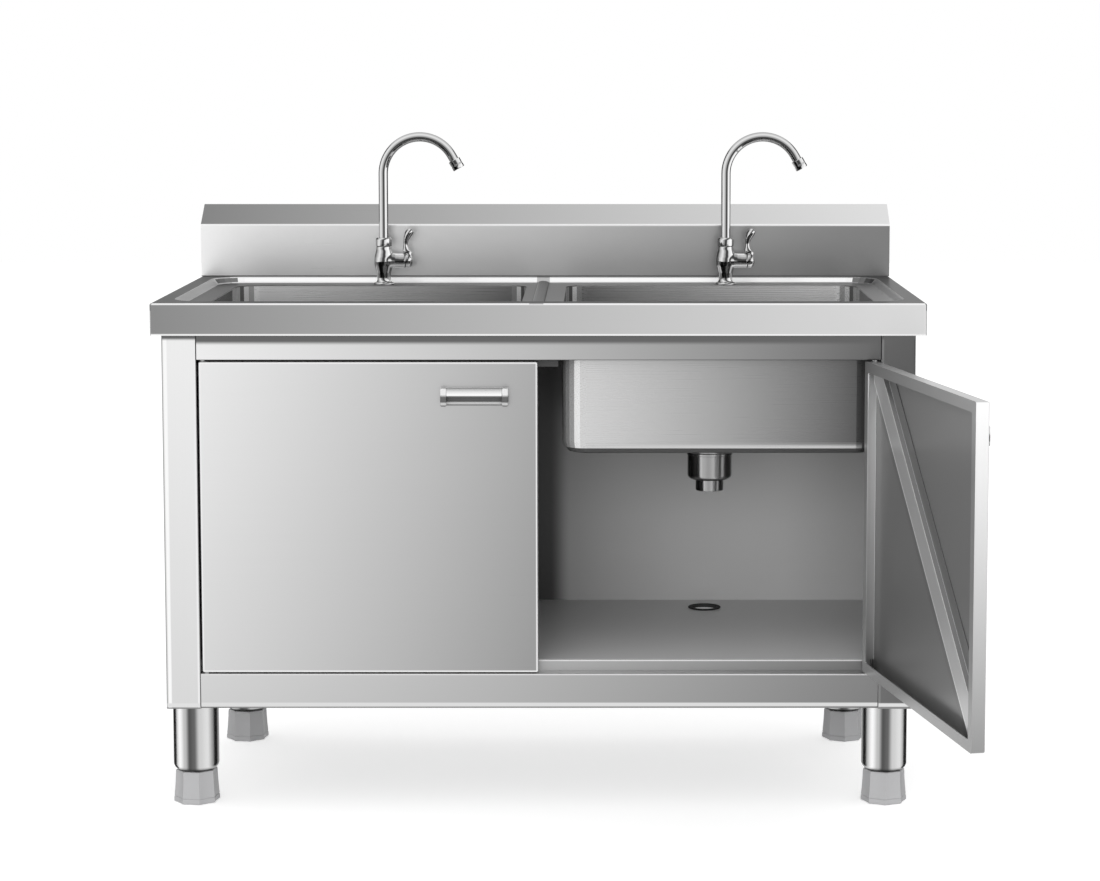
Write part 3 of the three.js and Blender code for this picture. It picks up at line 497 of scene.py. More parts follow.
def paint_back(tree, spot, normal):
    """The back panel, with painted deep shade behind the shut door and a painted sweep of light and shade
    over the rest.
    """
    tone = painted_sweep_tones(tree, spot, (172, 225, 128, 178), (X, UNIT_X + 20 * MM, BODY_RIGHT), (UP, 0.25, 0.6))
    shade = between(tree, along(tree, spot, X), UNIT_X + 8 * MM, UNIT_X + 45 * MM)
    light_again = between(tree, along(tree, spot, X), UNIT_X - 200 * MM, UNIT_X - 90 * MM, 1.0, 0.0)
    shade = maths(tree, "MAXIMUM", shade, light_again)
    inside = mix(tree, shade, linear(70), tone)
    return toward(tree, linear(190), normal, FRONT, inside, 0.8, 0.95)


def paint_shelf(tree, spot, normal):
    low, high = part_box("bottom_shelf")
    # Painted light and shade: the top darker towards the back, and on the lip a painted sweep with a painted
    # highlight along its top edge.
    top = painted_sweep_tones(tree, spot, (232, 250, 205, 225), (X, low.x, high.x), (Y, low.y, high.y))
    lip = painted_sweep_tones(tree, spot, (178, 112, 178, 112), (X, UNIT_X, high.x), upright("bottom_shelf"))
    lip = edge(tree, lip, spot, UP, high.z, 3.5 * MM, 235)
    tone = toward(tree, linear(170), normal, UP, top, 0.9, 0.97)
    return toward(tree, tone, normal, FRONT, lip, 0.85, 0.95)


def bowl_paint(side):
    """Painted light and shade. Outside, a painted sweep of reflected light with painted highlights along the
    folds; inside, walls with painted shade towards the middle of the worktop and painted reflections on the
    rounded corners; painted shade underneath.
    """
    node = f"bowl_{side}"
    low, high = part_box(node)
    centre_y = (low.y + high.y) / 2
    inner = {"left": (252, 112), "right": (118, 252)}[side]

    def paint(tree, spot, normal):
        facing_x = along(tree, normal, X)
        outside = painted_sweep_tones(tree, spot, (212, 74, 212, 74), across(node), upright(node))
        outside = edge(tree, outside, spot, UP, low.z + 14 * MM, 9 * MM, 205)
        inside = painted_sweep_tones(tree, spot, (*inner, *inner), across(node), upright(node))
        wall = mix(tree, between(tree, along(tree, spot, Y), centre_y - 20 * MM, centre_y + 20 * MM),
                   outside, inside)
        turn = maths(tree, "ABSOLUTE", facing_x)
        inner_round = ramp(tree, turn, [(0.0, 150), (0.3, 105), (0.55, 250), (0.8, 110), (1.0, 215)],
                           0.0, 1.0)
        outer_round = ramp(tree, facing_x, [(-1.0, 110), (-0.9, 215), (-0.5, 245), (0.5, 110), (1.0, 50)])
        at_back = between(tree, along(tree, spot, Y), centre_y + 120 * MM, centre_y + 140 * MM)
        rounds = mix(tree, at_back, outer_round, inner_round)
        rounds = mix(tree, between(tree, along(tree, normal, UP), -0.9, -0.25, 1.0, 0.0), rounds, linear(60))
        tone = toward(tree, rounds, normal, FRONT, wall, 0.9, 0.99)
        return toward(tree, tone, normal, UP, linear(150), 0.6, 0.95)
    return paint


# ---- the doors

def door_paint(side):
    """The outer face carries a painted sweep of reflected light from light to dark, with painted highlights
    along the folded edges.
    Inside, painted light and shade stand the lips lighter than the sheet behind them."""
    hinge, run, out = HINGE[side], DOOR_ALONG[side], DOOR_OUT[side]
    start = hinge.dot(run) - HINGE_TO_EDGE
    end = start + DOOR_WIDTH
    outer = hinge.dot(out) + HINGE_TO_EDGE
    height = (UP, DOOR_LOW_Z, DOOR_HIGH_Z)

    def paint(tree, spot, normal):
        face = painted_sweep_tones(tree, spot, (214, 154, 234, 173), (run, start, end), height)
        for axis, place in ((run, start), (run, end), (UP, DOOR_LOW_Z), (UP, DOOR_HIGH_Z)):
            face = edge(tree, face, spot, axis, place, 4.2 * MM, 246)
        sheet = painted_sweep_tones(tree, spot, (128, 150, 150, 168), (run, start, end), height)
        lips = painted_sweep_tones(tree, spot, (190, 172, 150, 190), (run, start, end), height)
        depth = maths(tree, "SUBTRACT", outer, along(tree, spot, out))
        inner = mix(tree, between(tree, depth, 8 * MM, 14 * MM), sheet, lips)
        free = painted_sweep_tones(tree, spot, (150, 150, 248, 248), (run, start, end), height)
        tone = toward(tree, linear(235), normal, tuple(-out), inner, 0.85, 0.95)
        tone = toward(tree, tone, normal, tuple(run), free, 0.85, 0.95)
        tone = toward(tree, tone, normal, UP, linear(190), 0.85, 0.95)
        return toward(tree, tone, normal, tuple(out), face, 0.9, 0.99)
    return paint


BRACE_CROWN = 40 * MM


def brace_upper_side(side):
    """The direction across the brace in the door's plane, towards the door's top free corner."""
    bm = bmesh.new()
    bm.from_mesh(NODES[f"door_brace_{side}"].data)
    bmesh.ops.remove_doubles(bm, verts=bm.verts, dist=0.01 * MM)
    folds = [e for e in bm.edges if len(e.link_faces) == 2 and e.calc_face_angle() > 0.2]
    longest = max(folds, key=lambda e: e.calc_length())
    direction = (longest.verts[1].co - longest.verts[0].co).normalized()
    bm.free()
    across_it = direction.cross(DOOR_OUT[side])
    return across_it if across_it.z > 0 else -across_it


def brace_paint(side):
    """A mid grey crown between two folds, with painted highlights on the crown and folds and painted shade
    darkening the flanges and sides.
    """
    out = DOOR_OUT[side]
    outer = HINGE[side].dot(out) + HINGE_TO_EDGE
    upper_side = brace_upper_side(side)
    lower_fold = middle(f"door_brace_{side}").dot(upper_side) - BRACE_CROWN / 2

    def paint(tree, spot, normal):
        depth = maths(tree, "SUBTRACT", outer, along(tree, spot, out))
        crown = painted_sweep_tones(tree, spot, (222, 200, 222, 200), (UP, DOOR_LOW_Z, DOOR_HIGH_Z),
                      (UP, DOOR_LOW_Z, DOOR_HIGH_Z))
        crown = edge(tree, crown, spot, tuple(upper_side), lower_fold + 1 * MM, 3 * MM, 255)
        flat = mix(tree, between(tree, depth, 5 * MM, 7 * MM), linear(140), crown)
        turn = along(tree, normal, tuple(upper_side))
        folds = ramp(tree, turn, [(-1.0, 96), (-0.8, 110), (-0.5, 252), (0.0, 190), (0.45, 238), (0.8, 120),
                                  (1.0, 112)])
        folded = between(tree, maths(tree, "ABSOLUTE", turn), 0.08, 0.25)
        return mix(tree, folded, flat, folds)
    return paint


# ---- handle, chrome, turned pieces, plastic

def paint_bracket(tree, spot, normal):
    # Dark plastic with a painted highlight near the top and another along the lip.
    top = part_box("handle_bracket_left")[1].z
    tone = edge(tree, maths(tree, "ADD", linear(88), 0.0), spot, UP, top - 5 * MM, 9 * MM, 225)
    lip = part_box("handle_bracket_left")[0].z + 4 * MM
    return edge(tree, tone, spot, UP, lip, 3 * MM, 190)


def paint_grip(tree, spot, normal):
    # The hood carries a painted sweep of reflected light, brightest low down and greyer at the top, with a
    # painted shade line under it.
    low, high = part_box("handle_grip_left")
    hood = painted_sweep_tones(tree, spot, (252, 252, 190, 190), (X, low.x, high.x), (UP, low.z + 4 * MM, high.z))
    return edge(tree, hood, spot, UP, low.z, 2.5 * MM, 120)


# Painted reflections: tones of the light and dark bands round the chrome, the leg tubes and the turned steel,
# by the way the surface faces, and round the swan neck across its bend.
CHROME_REFLECTION_STOPS = [(-1.0, 60), (-0.88, 165), (-0.5, 225), (-0.25, 160), (-0.08, 60), (0.08, 70), (0.22, 225),
                (0.6, 254),
                (0.85, 200), (0.98, 80)]
TUBE_REFLECTION_STOPS = [(-1.0, 90), (-0.85, 165), (-0.6, 250), (-0.36, 190), (-0.15, 84), (0.05, 100), (0.3, 205),
              (0.6, 222),
              (0.86, 135), (1.0, 80)]
DRAIN_REFLECTION_STOPS = [(-1.0, 110), (-0.8, 150), (-0.6, 238), (-0.3, 165), (-0.1, 150), (0.3, 185), (0.55, 242),
               (0.8, 160),
               (1.0, 110)]
CHROME_AXIS = (1, 0, -0.6)
NECK_REFLECTION_STOPS = [(-1.0, 90), (-0.85, 190), (-0.5, 228), (-0.12, 165), (0.05, 62), (0.28, 84), (0.42, 235),
              (0.65, 255),
              (0.85, 160), (1.0, 70)]
SPOUT_RADIUS, SPOUT_STRAIGHT, SPOUT_BEND, SPOUT_TURN, SPOUT_END = 8.09, 124.5, 63, 150, 14


def neck_paint(side):
    """Painted reflection bands that follow the swan neck round its bend, from its outer side to its inner
    side.
    """
    foot = joint_point(f"spout_{side}_swivel")
    bend_x = foot.x + SPOUT_BEND * MM
    bend_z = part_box(f"spout_{side}")[0].z + SPOUT_STRAIGHT * MM

    def paint(tree, spot, normal):
        aside = maths(tree, "SUBTRACT", along(tree, spot, X), bend_x)
        above = maths(tree, "MAXIMUM", maths(tree, "SUBTRACT", along(tree, spot, UP), bend_z), 0.0)
        squares = maths(tree, "ADD", maths(tree, "MULTIPLY", aside, aside),
                        maths(tree, "MULTIPLY", above, above))
        inwards = maths(tree, "SUBTRACT", SPOUT_BEND * MM, maths(tree, "SQRT", squares))
        return ramp(tree, maths(tree, "DIVIDE", inwards, SPOUT_RADIUS * MM), NECK_REFLECTION_STOPS)
    return paint


def all_materials():
    look = {
        "deck": steel("deck_steel", paint_deck, edge_tint=0.3),
        "splash": steel("splashback_steel", paint_splash, edge_tint=0.6),
        "top_rail": steel("top_rail_steel", paint_top_rail),
        "bottom_rail": steel("bottom_rail_steel", paint_bottom_rail),
        "sides": steel("side_panel_steel", paint_post, grain=ALONG_Z),
        "back": steel("back_panel_steel", paint_back, roughness=0.4, metallic=0.3),
        "shelf": steel("shelf_steel", paint_shelf, roughness=0.36, metallic=0.2, edge_tint=0.4),
        "hidden": steel("inner_steel", plain(165), roughness=0.36),
        # Leg tubes and turned steel carry painted reflection bands whose undersides fall to painted shade;
        # the chrome and the swan necks carry painted reflection bands.
        "tube": steel("leg_steel", bands(TUBE_REFLECTION_STOPS, under=22), roughness=0.2, grain=ALONG_Z),
        "bright": steel("turned_steel", bands(DRAIN_REFLECTION_STOPS, under=70), roughness=0.2),
        "chrome": steel("tap_chrome", bands(CHROME_REFLECTION_STOPS, CHROME_AXIS), roughness=0.06, grain=(60, 60, 60),
                        bump=0.0),
        "foot": plastic("foot_plastic", plain(188), tint=(0.985, 0.985, 1.0, 1)),
        "bracket": plastic("handle_plastic", paint_bracket, 0.4),
        "grip": steel("handle_steel", paint_grip, roughness=0.22),
        "rubber": plastic("seal_rubber", plain(24), 0.7),
        "dark": plastic("catch_plastic", plain(60), 0.5),
    }
    for side in SIDES:
        look[f"bowl_{side}"] = steel(f"bowl_steel_{side}", bowl_paint(side), roughness=0.28, metallic=0.6,
                                      edge_tint=0.6)
        look[f"door_{side}"] = steel(f"door_steel_{side}", door_paint(side),
                                     metallic={"left": 1.0, "right": 0.55}[side])
        look[f"neck_{side}"] = steel(f"neck_chrome_{side}", neck_paint(side), roughness=0.08,
                                     grain=(60, 60, 60), bump=0.0)
        look[f"brace_{side}"] = steel(f"brace_steel_{side}", brace_paint(side), grain=ALONG_Z, metallic=0.55)
    return look


# ------------------------------------------------------------------ mesh helpers

def finish_shape(piece, material, body, slot, *replaced):
    """Gives a new piece its finish and its place in the frame."""
    piece.data.materials.clear()
    piece.data.materials.append(material)
    if replaced:
        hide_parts(*replaced)
    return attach(piece, body)


def object_of(name, bm):
    bmesh.ops.recalc_face_normals(bm, faces=bm.faces)
    mesh = bpy.data.meshes.new(name)
    bm.to_mesh(mesh)
    bm.free()
    piece = bpy.data.objects.new(name, mesh)
    bpy.context.scene.collection.objects.link(piece)
    return piece


def smooth(piece, degrees=35):
    """Shades the piece smooth, with its edges over the given angle kept sharp."""
    for polygon in piece.data.polygons:
        polygon.use_smooth = True
    piece.data.set_sharp_from_angle(angle=math.radians(degrees))


def add_skin(bm, rings, closed=False):
    """Faces between rings of points with the same count. The ends are capped unless the rings close on
    themselves."""
    made = [[bm.verts.new(point) for point in ring] for ring in rings]
    pairs = list(zip(made, made[1:]))
    if closed:
        pairs.append((made[-1], made[0]))
    for low, high in pairs:
        for i in range(len(low)):
            j = (i + 1) % len(low)
            bm.faces.new([low[i], low[j], high[j], high[i]])
    if not closed:
        bm.faces.new(made[0])
        bm.faces.new(made[-1])


def circle(radius, height, turns):
    angles = [2 * math.pi * i / turns for i in range(turns)]
    return [(radius * math.cos(a), radius * math.sin(a), height) for a in angles]


def turned_shape(bm, profile, placed, turns=64, closed=True):
    """A profile of (radius, height) points turned round the upright axis and then placed."""
    rings = [[placed @ Vector(point) for point in circle(radius, height, turns)]
             for radius, height in profile]
    add_skin(bm, rings, closed)


def lathe(name, profile, placed, turns=64, closed=True):
    bm = bmesh.new()
    turned_shape(bm, profile, placed, turns, closed)
    piece = object_of(name, bm)
    smooth(piece)
    return piece


def rounded(profile, radius, closed=True, steps=4):
    """The profile with each corner rounded by up to radius, for turned pieces."""
    out = []
    count = len(profile)
    for i, point in enumerate(profile):
        here = Vector(point)
        if not closed and i in (0, count - 1):
            out.append(tuple(here))
            continue
        before, after = Vector(profile[i - 1]), Vector(profile[(i + 1) % count])
        reach = min(radius, (before - here).length * 0.45, (after - here).length * 0.45)
        start = here + (before - here).normalized() * reach
        end = here + (after - here).normalized() * reach
        for k in range(steps + 1):
            t = k / steps
            out.append(tuple(start.lerp(here, t).lerp(here.lerp(end, t), t)))
    return out


def upright_at(x, y, z=0.0):
    return Matrix.Translation((x, y, z))


def melted(piece, voxel, passes):
    """Joins the shapes of one piece into a single skin with soft inner corners."""
    remesh = piece.modifiers.new("one_skin", "REMESH")
    remesh.mode = "VOXEL"
    remesh.voxel_size = voxel
    remesh.use_smooth_shade = True
    relax = piece.modifiers.new("soft_corners", "SMOOTH")
    relax.factor = 0.5
    relax.iterations = passes


# ------------------------------------------------------------------ legs and feet

LEG_RADIUS, LEG_WALL, LEG_END_ROUND = 36 * MM, 2 * MM, 11 * MM
STEM_RADIUS, THREAD_DEPTH, THREAD_PITCH = 11.5 * MM, 0.8 * MM, 3 * MM
STEM_BORE = 12 * MM


def leg_tubes(look):
    """Round tubes whose lower ends are rolled in round the stem."""
    for name in LEGS:
        low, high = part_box(f"leg_{name}")
        centre = middle(f"leg_{name}")
        shoulder = LEG_RADIUS - LEG_END_ROUND
        roll_z = low.z + LEG_END_ROUND
        turn = [math.radians(-90 + 9 * k) for k in range(11)]
        inner_round = LEG_END_ROUND - LEG_WALL
        outer = [(shoulder + LEG_END_ROUND * math.cos(a), roll_z + LEG_END_ROUND * math.sin(a)) for a in turn]
        inner = [(shoulder + inner_round * math.cos(a), roll_z + inner_round * math.sin(a))
                 for a in reversed(turn)]
        profile = [(STEM_BORE, low.z), *outer, (LEG_RADIUS, high.z), (LEG_RADIUS - LEG_WALL, high.z), *inner,
                   (STEM_BORE, low.z + LEG_WALL)]
        piece = lathe(f"leg_tube_{name}", profile, upright_at(centre.x, centre.y), turns=80)
        finish_shape(piece, look["tube"], "cabinet", "polished_steel", f"leg_{name}")


FACETS = 8
FACET_HALF = math.pi / FACETS
FACET_STEPS = 10
FOOT_HOLLOW = 1.3
# height, corner radius and how hollow the facets are there, from the floor up
FOOT_STATIONS = [(0.0, 34.6, 0.6), (0.5, 35.7, 0.9), (1.3, 36.4, 1.0), (7.6, 36.2, 1.0), (8.3, 35.9, 1.0),
                 (8.6, 35.0, 1.0), (9.3, 35.0, 1.0), (9.6, 35.8, 1.0), (22.0, 34.6, 1.0), (36.0, 33.6, 1.0),
                 (49.5, 33.0, 0.9), (50.9, 32.6, 0.8), (51.5, 31.8, 0.6), (51.7, 30.6, 0.4)]


def facet_ring(radius, hollow, height, first_corner):
    """An eight-sided ring with slightly hollow sides."""
    ring = []
    for facet in range(FACETS):
        for step in range(FACET_STEPS):
            off = FACET_HALF * (2 * step / FACET_STEPS - 1)
            reach = radius * math.cos(FACET_HALF) / math.cos(off)
            reach -= FOOT_HOLLOW * hollow * (1 - (off / FACET_HALF) ** 2)
            angle = first_corner + FACET_HALF * (2 * facet + 1) + off
            ring.append((reach * MM * math.cos(angle), reach * MM * math.sin(angle), height * MM))
    return ring


def corner_direction(node, centre):
    """The direction of one corner of a foot's floor outline, from its axis."""
    corner = max((v.co for v in NODES[node].data.vertices if v.co.z < 0.5 * MM),
                 key=lambda co: (co.xy - centre.xy).length)
    return math.atan2(corner.y - centre.y, corner.x - centre.x)


def feet(look):
    """Hollow-sided moulded feet on threaded stems."""
    for name in LEGS:
        node = f"foot_{name}"
        centre = middle(f"leg_{name}")
        first = corner_direction(node, centre)
        rings = [facet_ring(radius, hollow, height, first) for height, radius, hollow in FOOT_STATIONS]
        count = FACETS * FACET_STEPS
        stem_foot = FOOT_STATIONS[-1][0] * MM
        stem_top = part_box(node)[1].z
        level = stem_foot
        profile = [(STEM_RADIUS, level)]
        while level + THREAD_PITCH < stem_top - 1 * MM:
            profile += [(STEM_RADIUS, level + THREAD_PITCH * 0.3),
                        (STEM_RADIUS - THREAD_DEPTH, level + THREAD_PITCH / 2),
                        (STEM_RADIUS, level + THREAD_PITCH * 0.7)]
            level += THREAD_PITCH
        profile += [(STEM_RADIUS, stem_top - 1 * MM), (STEM_RADIUS - 1 * MM, stem_top)]
        for radius, height in profile:
            angles = [first + 2 * math.pi * i / count for i in range(count)]
            rings.append([(radius * math.cos(a), radius * math.sin(a), height) for a in angles])
        bm = bmesh.new()
        add_skin(bm, rings)
        bmesh.ops.translate(bm, vec=(centre.x, centre.y, 0), verts=bm.verts)
        piece = object_of(f"foot_body_{name}", bm)
        smooth(piece, 24)
        finish_shape(piece, look["foot"], node, "grey_plastic", node)


# ------------------------------------------------------------------ drains

SEAL_BORE, SEAL_RADIUS = 30 * MM, 39 * MM
NUT_WAIST, NUT_RADIUS = 37.6 * MM, 39.5 * MM
CUP_RADIUS, CUP_ROLL, CUP_WALL = 36.25 * MM, 8 * MM, 2.5 * MM
OUTLET_BORE, OUTLET_RADIUS = 20 * MM, 22.75 * MM
THROAT_BORE, THROAT_RADIUS, FLANGE_RADIUS = 27.5 * MM, 29.5 * MM, 43.9 * MM
SLEEVE_BORE, SLEEVE_LIP, SLEEVE_GROOVE = 21 * MM, 2 * MM, 3.3 * MM


def drains(look):
    """Under each bowl a stepped lock nut, a cup with a rolled end and an outlet; in its seat a flange."""
    for side in SIDES:
        centre = middle(f"drain_nut_{side}")
        placed = upright_at(centre.x, centre.y)

        def ring(name, inner, outer, finish, slot):
            low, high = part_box(f"{name}_{side}")
            profile = [(inner, low.z), (outer, low.z), (outer, high.z), (inner, high.z)]
            piece = lathe(f"{name}_ring_{side}", rounded(profile, 0.8 * MM), placed)
            finish_shape(piece, look[finish], "cabinet", slot, f"{name}_{side}")

        ring("drain_seal", SEAL_BORE, SEAL_RADIUS, "rubber", "black_rubber")
        ring("drain_outlet", OUTLET_BORE, OUTLET_RADIUS, "bright", "polished_steel")

        low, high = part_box(f"drain_nut_{side}")
        top, foot = high.z, low.z
        profile = [(SEAL_BORE, foot), (NUT_WAIST, foot), (NUT_WAIST, foot + 4 * MM),
                   (NUT_RADIUS, foot + 6 * MM),
                   (NUT_RADIUS, top - 2 * MM), (NUT_RADIUS - 1.5 * MM, top), (SEAL_BORE, top)]
        piece = lathe(f"lock_nut_{side}", rounded(profile, 1 * MM), placed)
        finish_shape(piece, look["bright"], "cabinet", "polished_steel", f"drain_nut_{side}")

        low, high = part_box(f"drain_cup_{side}")
        shoulder, inner_roll = CUP_RADIUS - CUP_ROLL, CUP_ROLL - CUP_WALL
        turn = [math.radians(-90 + 9 * k) for k in range(11)]
        roll_z = low.z + CUP_ROLL
        outer = [(shoulder + CUP_ROLL * math.cos(a), roll_z + CUP_ROLL * math.sin(a)) for a in turn]
        inner = [(shoulder + inner_roll * math.cos(a),
                  roll_z + inner_roll * math.sin(a)) for a in reversed(turn)]
        rim = [(CUP_RADIUS, high.z), (CUP_RADIUS - CUP_WALL, high.z)]
        profile = [(OUTLET_BORE, low.z), *outer, *rim, *inner, (OUTLET_BORE, low.z + CUP_WALL)]
        piece = lathe(f"drain_trap_{side}", profile, placed)
        finish_shape(piece, look["bright"], "cabinet", "polished_steel", f"drain_cup_{side}")

        low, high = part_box(f"strainer_flange_{side}")
        seat = high.z - 2 * MM
        profile = [(THROAT_BORE, low.z), (THROAT_RADIUS, low.z), (THROAT_RADIUS, seat),
                   (FLANGE_RADIUS - 0.5 * MM, seat), (FLANGE_RADIUS, seat + 0.5 * MM), (40 * MM, high.z),
                   (THROAT_BORE, high.z)]
        piece = lathe(f"drain_flange_{side}", rounded(profile, 0.5 * MM), placed, turns=80)
        finish_shape(piece, look["bright"], "cabinet", "polished_steel", f"strainer_flange_{side}")

        low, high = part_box(f"pipe_grommet_{side}")
        centre = middle(f"pipe_grommet_{side}")
        outer_radius = (high.x - low.x) / 2
        neck = outer_radius - SLEEVE_GROOVE
        groove_low, groove_high = low.z + SLEEVE_LIP, high.z - SLEEVE_LIP
        profile = [(SLEEVE_BORE, low.z), (outer_radius, low.z), (outer_radius, groove_low),
                   (neck, groove_low),
                   (neck, groove_high), (outer_radius, groove_high), (outer_radius, high.z),
                   (SLEEVE_BORE, high.z)]
        piece = lathe(f"pipe_sleeve_{side}", rounded(profile, 0.8 * MM), upright_at(centre.x, centre.y))
        finish_shape(piece, look["rubber"], "cabinet", "black_rubber", f"pipe_grommet_{side}")


# ------------------------------------------------------------------ taps

ARM_RADIUS, ARM_HEIGHT, ARM_LENGTH, HUB_LENGTH = 12.5, 41, 37, 12.5
TAP_TOP = 66
SHANK_LENGTH = 45
SPOUT_SIDES = 48
TO_RIGHT = Matrix.Rotation(math.pi / 2, 4, "Y")


def loft(bm, stations, placed, turns=32):
    """Round or oval rings of (x, height, half width, half depth), smoothed between the stations."""
    rings = []
    for i in range(len(stations) - 1):
        p = [Vector(stations[max(0, min(len(stations) - 1, i + k))]) for k in (-1, 0, 1, 2)]
        for step in range(4):
            t = step / 4
            a = 2 * p[1] + (p[2] - p[0]) * t
            b = (2 * p[0] - 5 * p[1] + 4 * p[2] - p[3]) * t ** 2
            c = (3 * p[1] - p[0] - 3 * p[2] + p[3]) * t ** 3
            rings.append((a + b + c) / 2)
    rings.append(Vector(stations[-1]))
    points = []
    for x, height, wide, deep_half in rings:
        angles = [2 * math.pi * k / turns for k in range(turns)]
        points.append([placed @ Vector((x + wide * math.cos(a), deep_half * math.sin(a),
                                        height)) for a in angles])
    add_skin(bm, points)


def tap_frame(side):
    """Millimetres about the tap's axis, with the tray top at 0, placed in the scene."""
    tap = joint_point(f"spout_{side}_swivel")
    return Matrix.Translation((tap.x, tap.y, TRAY_TOP)) @ Matrix.Scale(MM, 4)


def tap_bodies(look):
    for side in SIDES:
        tap = tap_frame(side)
        bm = bmesh.new()
        column = [(0.5, -SHANK_LENGTH), (10, -SHANK_LENGTH), (10, 0), (17.9, 0), (17.9, 2), (16.8, 3.2),
                  (13, 4.4),
                  (11.7, 7), (11.5, 13), (12.2, 20), (14.2, 27), (16, 33), (16.5, 40), (16, 47), (14.6, 54),
                  (13.1, 60), (12.8, TAP_TOP), (0.5, TAP_TOP)]
        turned_shape(bm, rounded(column, 0.6, closed=False), tap, closed=False)
        arm = [(0.5, 0), (15.6, 0), (15.4, 8), (13.6, 14), (12.7, 20), (12.5, 26), (12.5, ARM_LENGTH - 0.6),
               (12, ARM_LENGTH), (0.5, ARM_LENGTH)]
        turned_shape(bm, arm, tap @ Matrix.Translation((0, 0, ARM_HEIGHT)) @ TO_RIGHT, closed=False)
        piece = object_of(f"tap_column_{side}", bm)
        melted(piece, 0.7 * MM, 8)
        finish_shape(piece, look["chrome"], "cabinet", "chrome", f"tap_body_{side}")


def tap_levers(look):
    for side in SIDES:
        pivot = tap_frame(side) @ Matrix.Translation((0, 0, ARM_HEIGHT))
        start = ARM_LENGTH + 0.3
        bm = bmesh.new()
        hub = [(0.5, start), (ARM_RADIUS - 0.5, start), (ARM_RADIUS, start + 0.6), (ARM_RADIUS, start + 5.5),
               (ARM_RADIUS - 1.2, start + 8.6), (ARM_RADIUS - 4, start + 11), (ARM_RADIUS - 8, start + 12.2),
               (0.5, start + HUB_LENGTH - 0.1)]
        turned_shape(bm, hub, pivot @ TO_RIGHT, turns=48, closed=False)
        reach = start + HUB_LENGTH / 2
        stem = [(reach, 6, 5, 5), (reach - 0.4, 11, 5.6, 5.4), (reach - 2.6, 14.4, 7.6, 5.4),
                (reach - 4.8, 18, 6.2, 4.8), (reach - 5.9, 23, 4.4, 4.2), (reach - 5.9, 28, 3.8, 3.8),
                (reach - 5.2, 34, 4.4, 4.4), (reach - 3.2, 40, 5.8, 5.8), (reach - 1.0, 45, 7.0, 7.0),
                (reach + 0.4, 49, 7.2, 7.2), (reach + 1.0, 52, 6.0, 6.0), (reach + 1.0, 54, 3.6, 3.6),
                (reach + 1.0, 54.8, 1.0, 1.0)]
        loft(bm, stem, pivot)
        piece = object_of(f"lever_arm_{side}", bm)
        melted(piece, 0.6 * MM, 5)
        finish_shape(piece, look["chrome"], f"lever_{side}", "chrome", f"tap_lever_{side}")


def spout_path():
    """Points and headings along the swan neck, in the upright plane across the unit."""
    places = [(Vector((0, 0, SPOUT_STRAIGHT * k / 6)), Vector(UP)) for k in range(6)]
    for k in range(41):
        a = math.radians(180 - SPOUT_TURN * k / 40)
        place = Vector((SPOUT_BEND + SPOUT_BEND * math.cos(a), 0, SPOUT_STRAIGHT + SPOUT_BEND * math.sin(a)))
        places.append((place, Vector((math.sin(a), 0, -math.cos(a)))))
    last, heading = places[-1]
    places.append((last + heading * SPOUT_END, heading))
    return places


def spouts(look):
    for side in SIDES:
        foot = (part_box(f"spout_{side}")[0].z - TRAY_TOP) / MM
        base = tap_frame(side) @ Matrix.Translation((0, 0, foot))
        path = spout_path()
        rings = []
        for place, heading in path:
            across_it = Vector((heading.z, 0, -heading.x))
            angles = [2 * math.pi * k / SPOUT_SIDES for k in range(SPOUT_SIDES)]
            rings.append([base @ (place + across_it * SPOUT_RADIUS * math.cos(a)
                                  + Vector(Y) * SPOUT_RADIUS * math.sin(a)) for a in angles])
        bm = bmesh.new()
        add_skin(bm, rings)
        piece = object_of(f"swan_neck_{side}", bm)
        smooth(piece)
        finish_shape(piece, look[f"neck_{side}"], f"spout_{side}", "chrome", f"spout_{side}")

        end, heading = path[-1]
        nozzle = [(8.6, -5), (10.2, -5), (10.9, -4.3), (10.9, 3.4), (10.3, 4.0), (10.3, 5.0), (10.9, 5.6),
                  (10.9, 10.9),
                  (10.3, 12), (8, 12), (8, 9.5), (0.6, 9.5), (0.6, 0.6), (8.6, 0.6)]
        placed = base @ Matrix.Translation(end) @ Matrix.Rotation(math.radians(SPOUT_TURN), 4, "Y")
        piece = lathe(f"nozzle_{side}", nozzle, placed, turns=48)
        finish_shape(piece, look["chrome"], f"spout_{side}", "chrome", f"aerator_{side}")

        collar = [(8.55, TAP_TOP), (13.2, TAP_TOP), (13.75, TAP_TOP + 0.6), (13.75, TAP_TOP + 11.6),
                  (13.1, TAP_TOP + 13.4), (11.6, TAP_TOP + 14.8), (10.6, TAP_TOP + 15), (8.55, TAP_TOP + 15)]
        piece = lathe(f"collar_ring_{side}", rounded(collar, 0.5), tap_frame(side), turns=48)
        finish_shape(piece, look["chrome"], "cabinet", "chrome", f"tap_collar_{side}")


# ------------------------------------------------------------------ CAD nodes that keep their shape

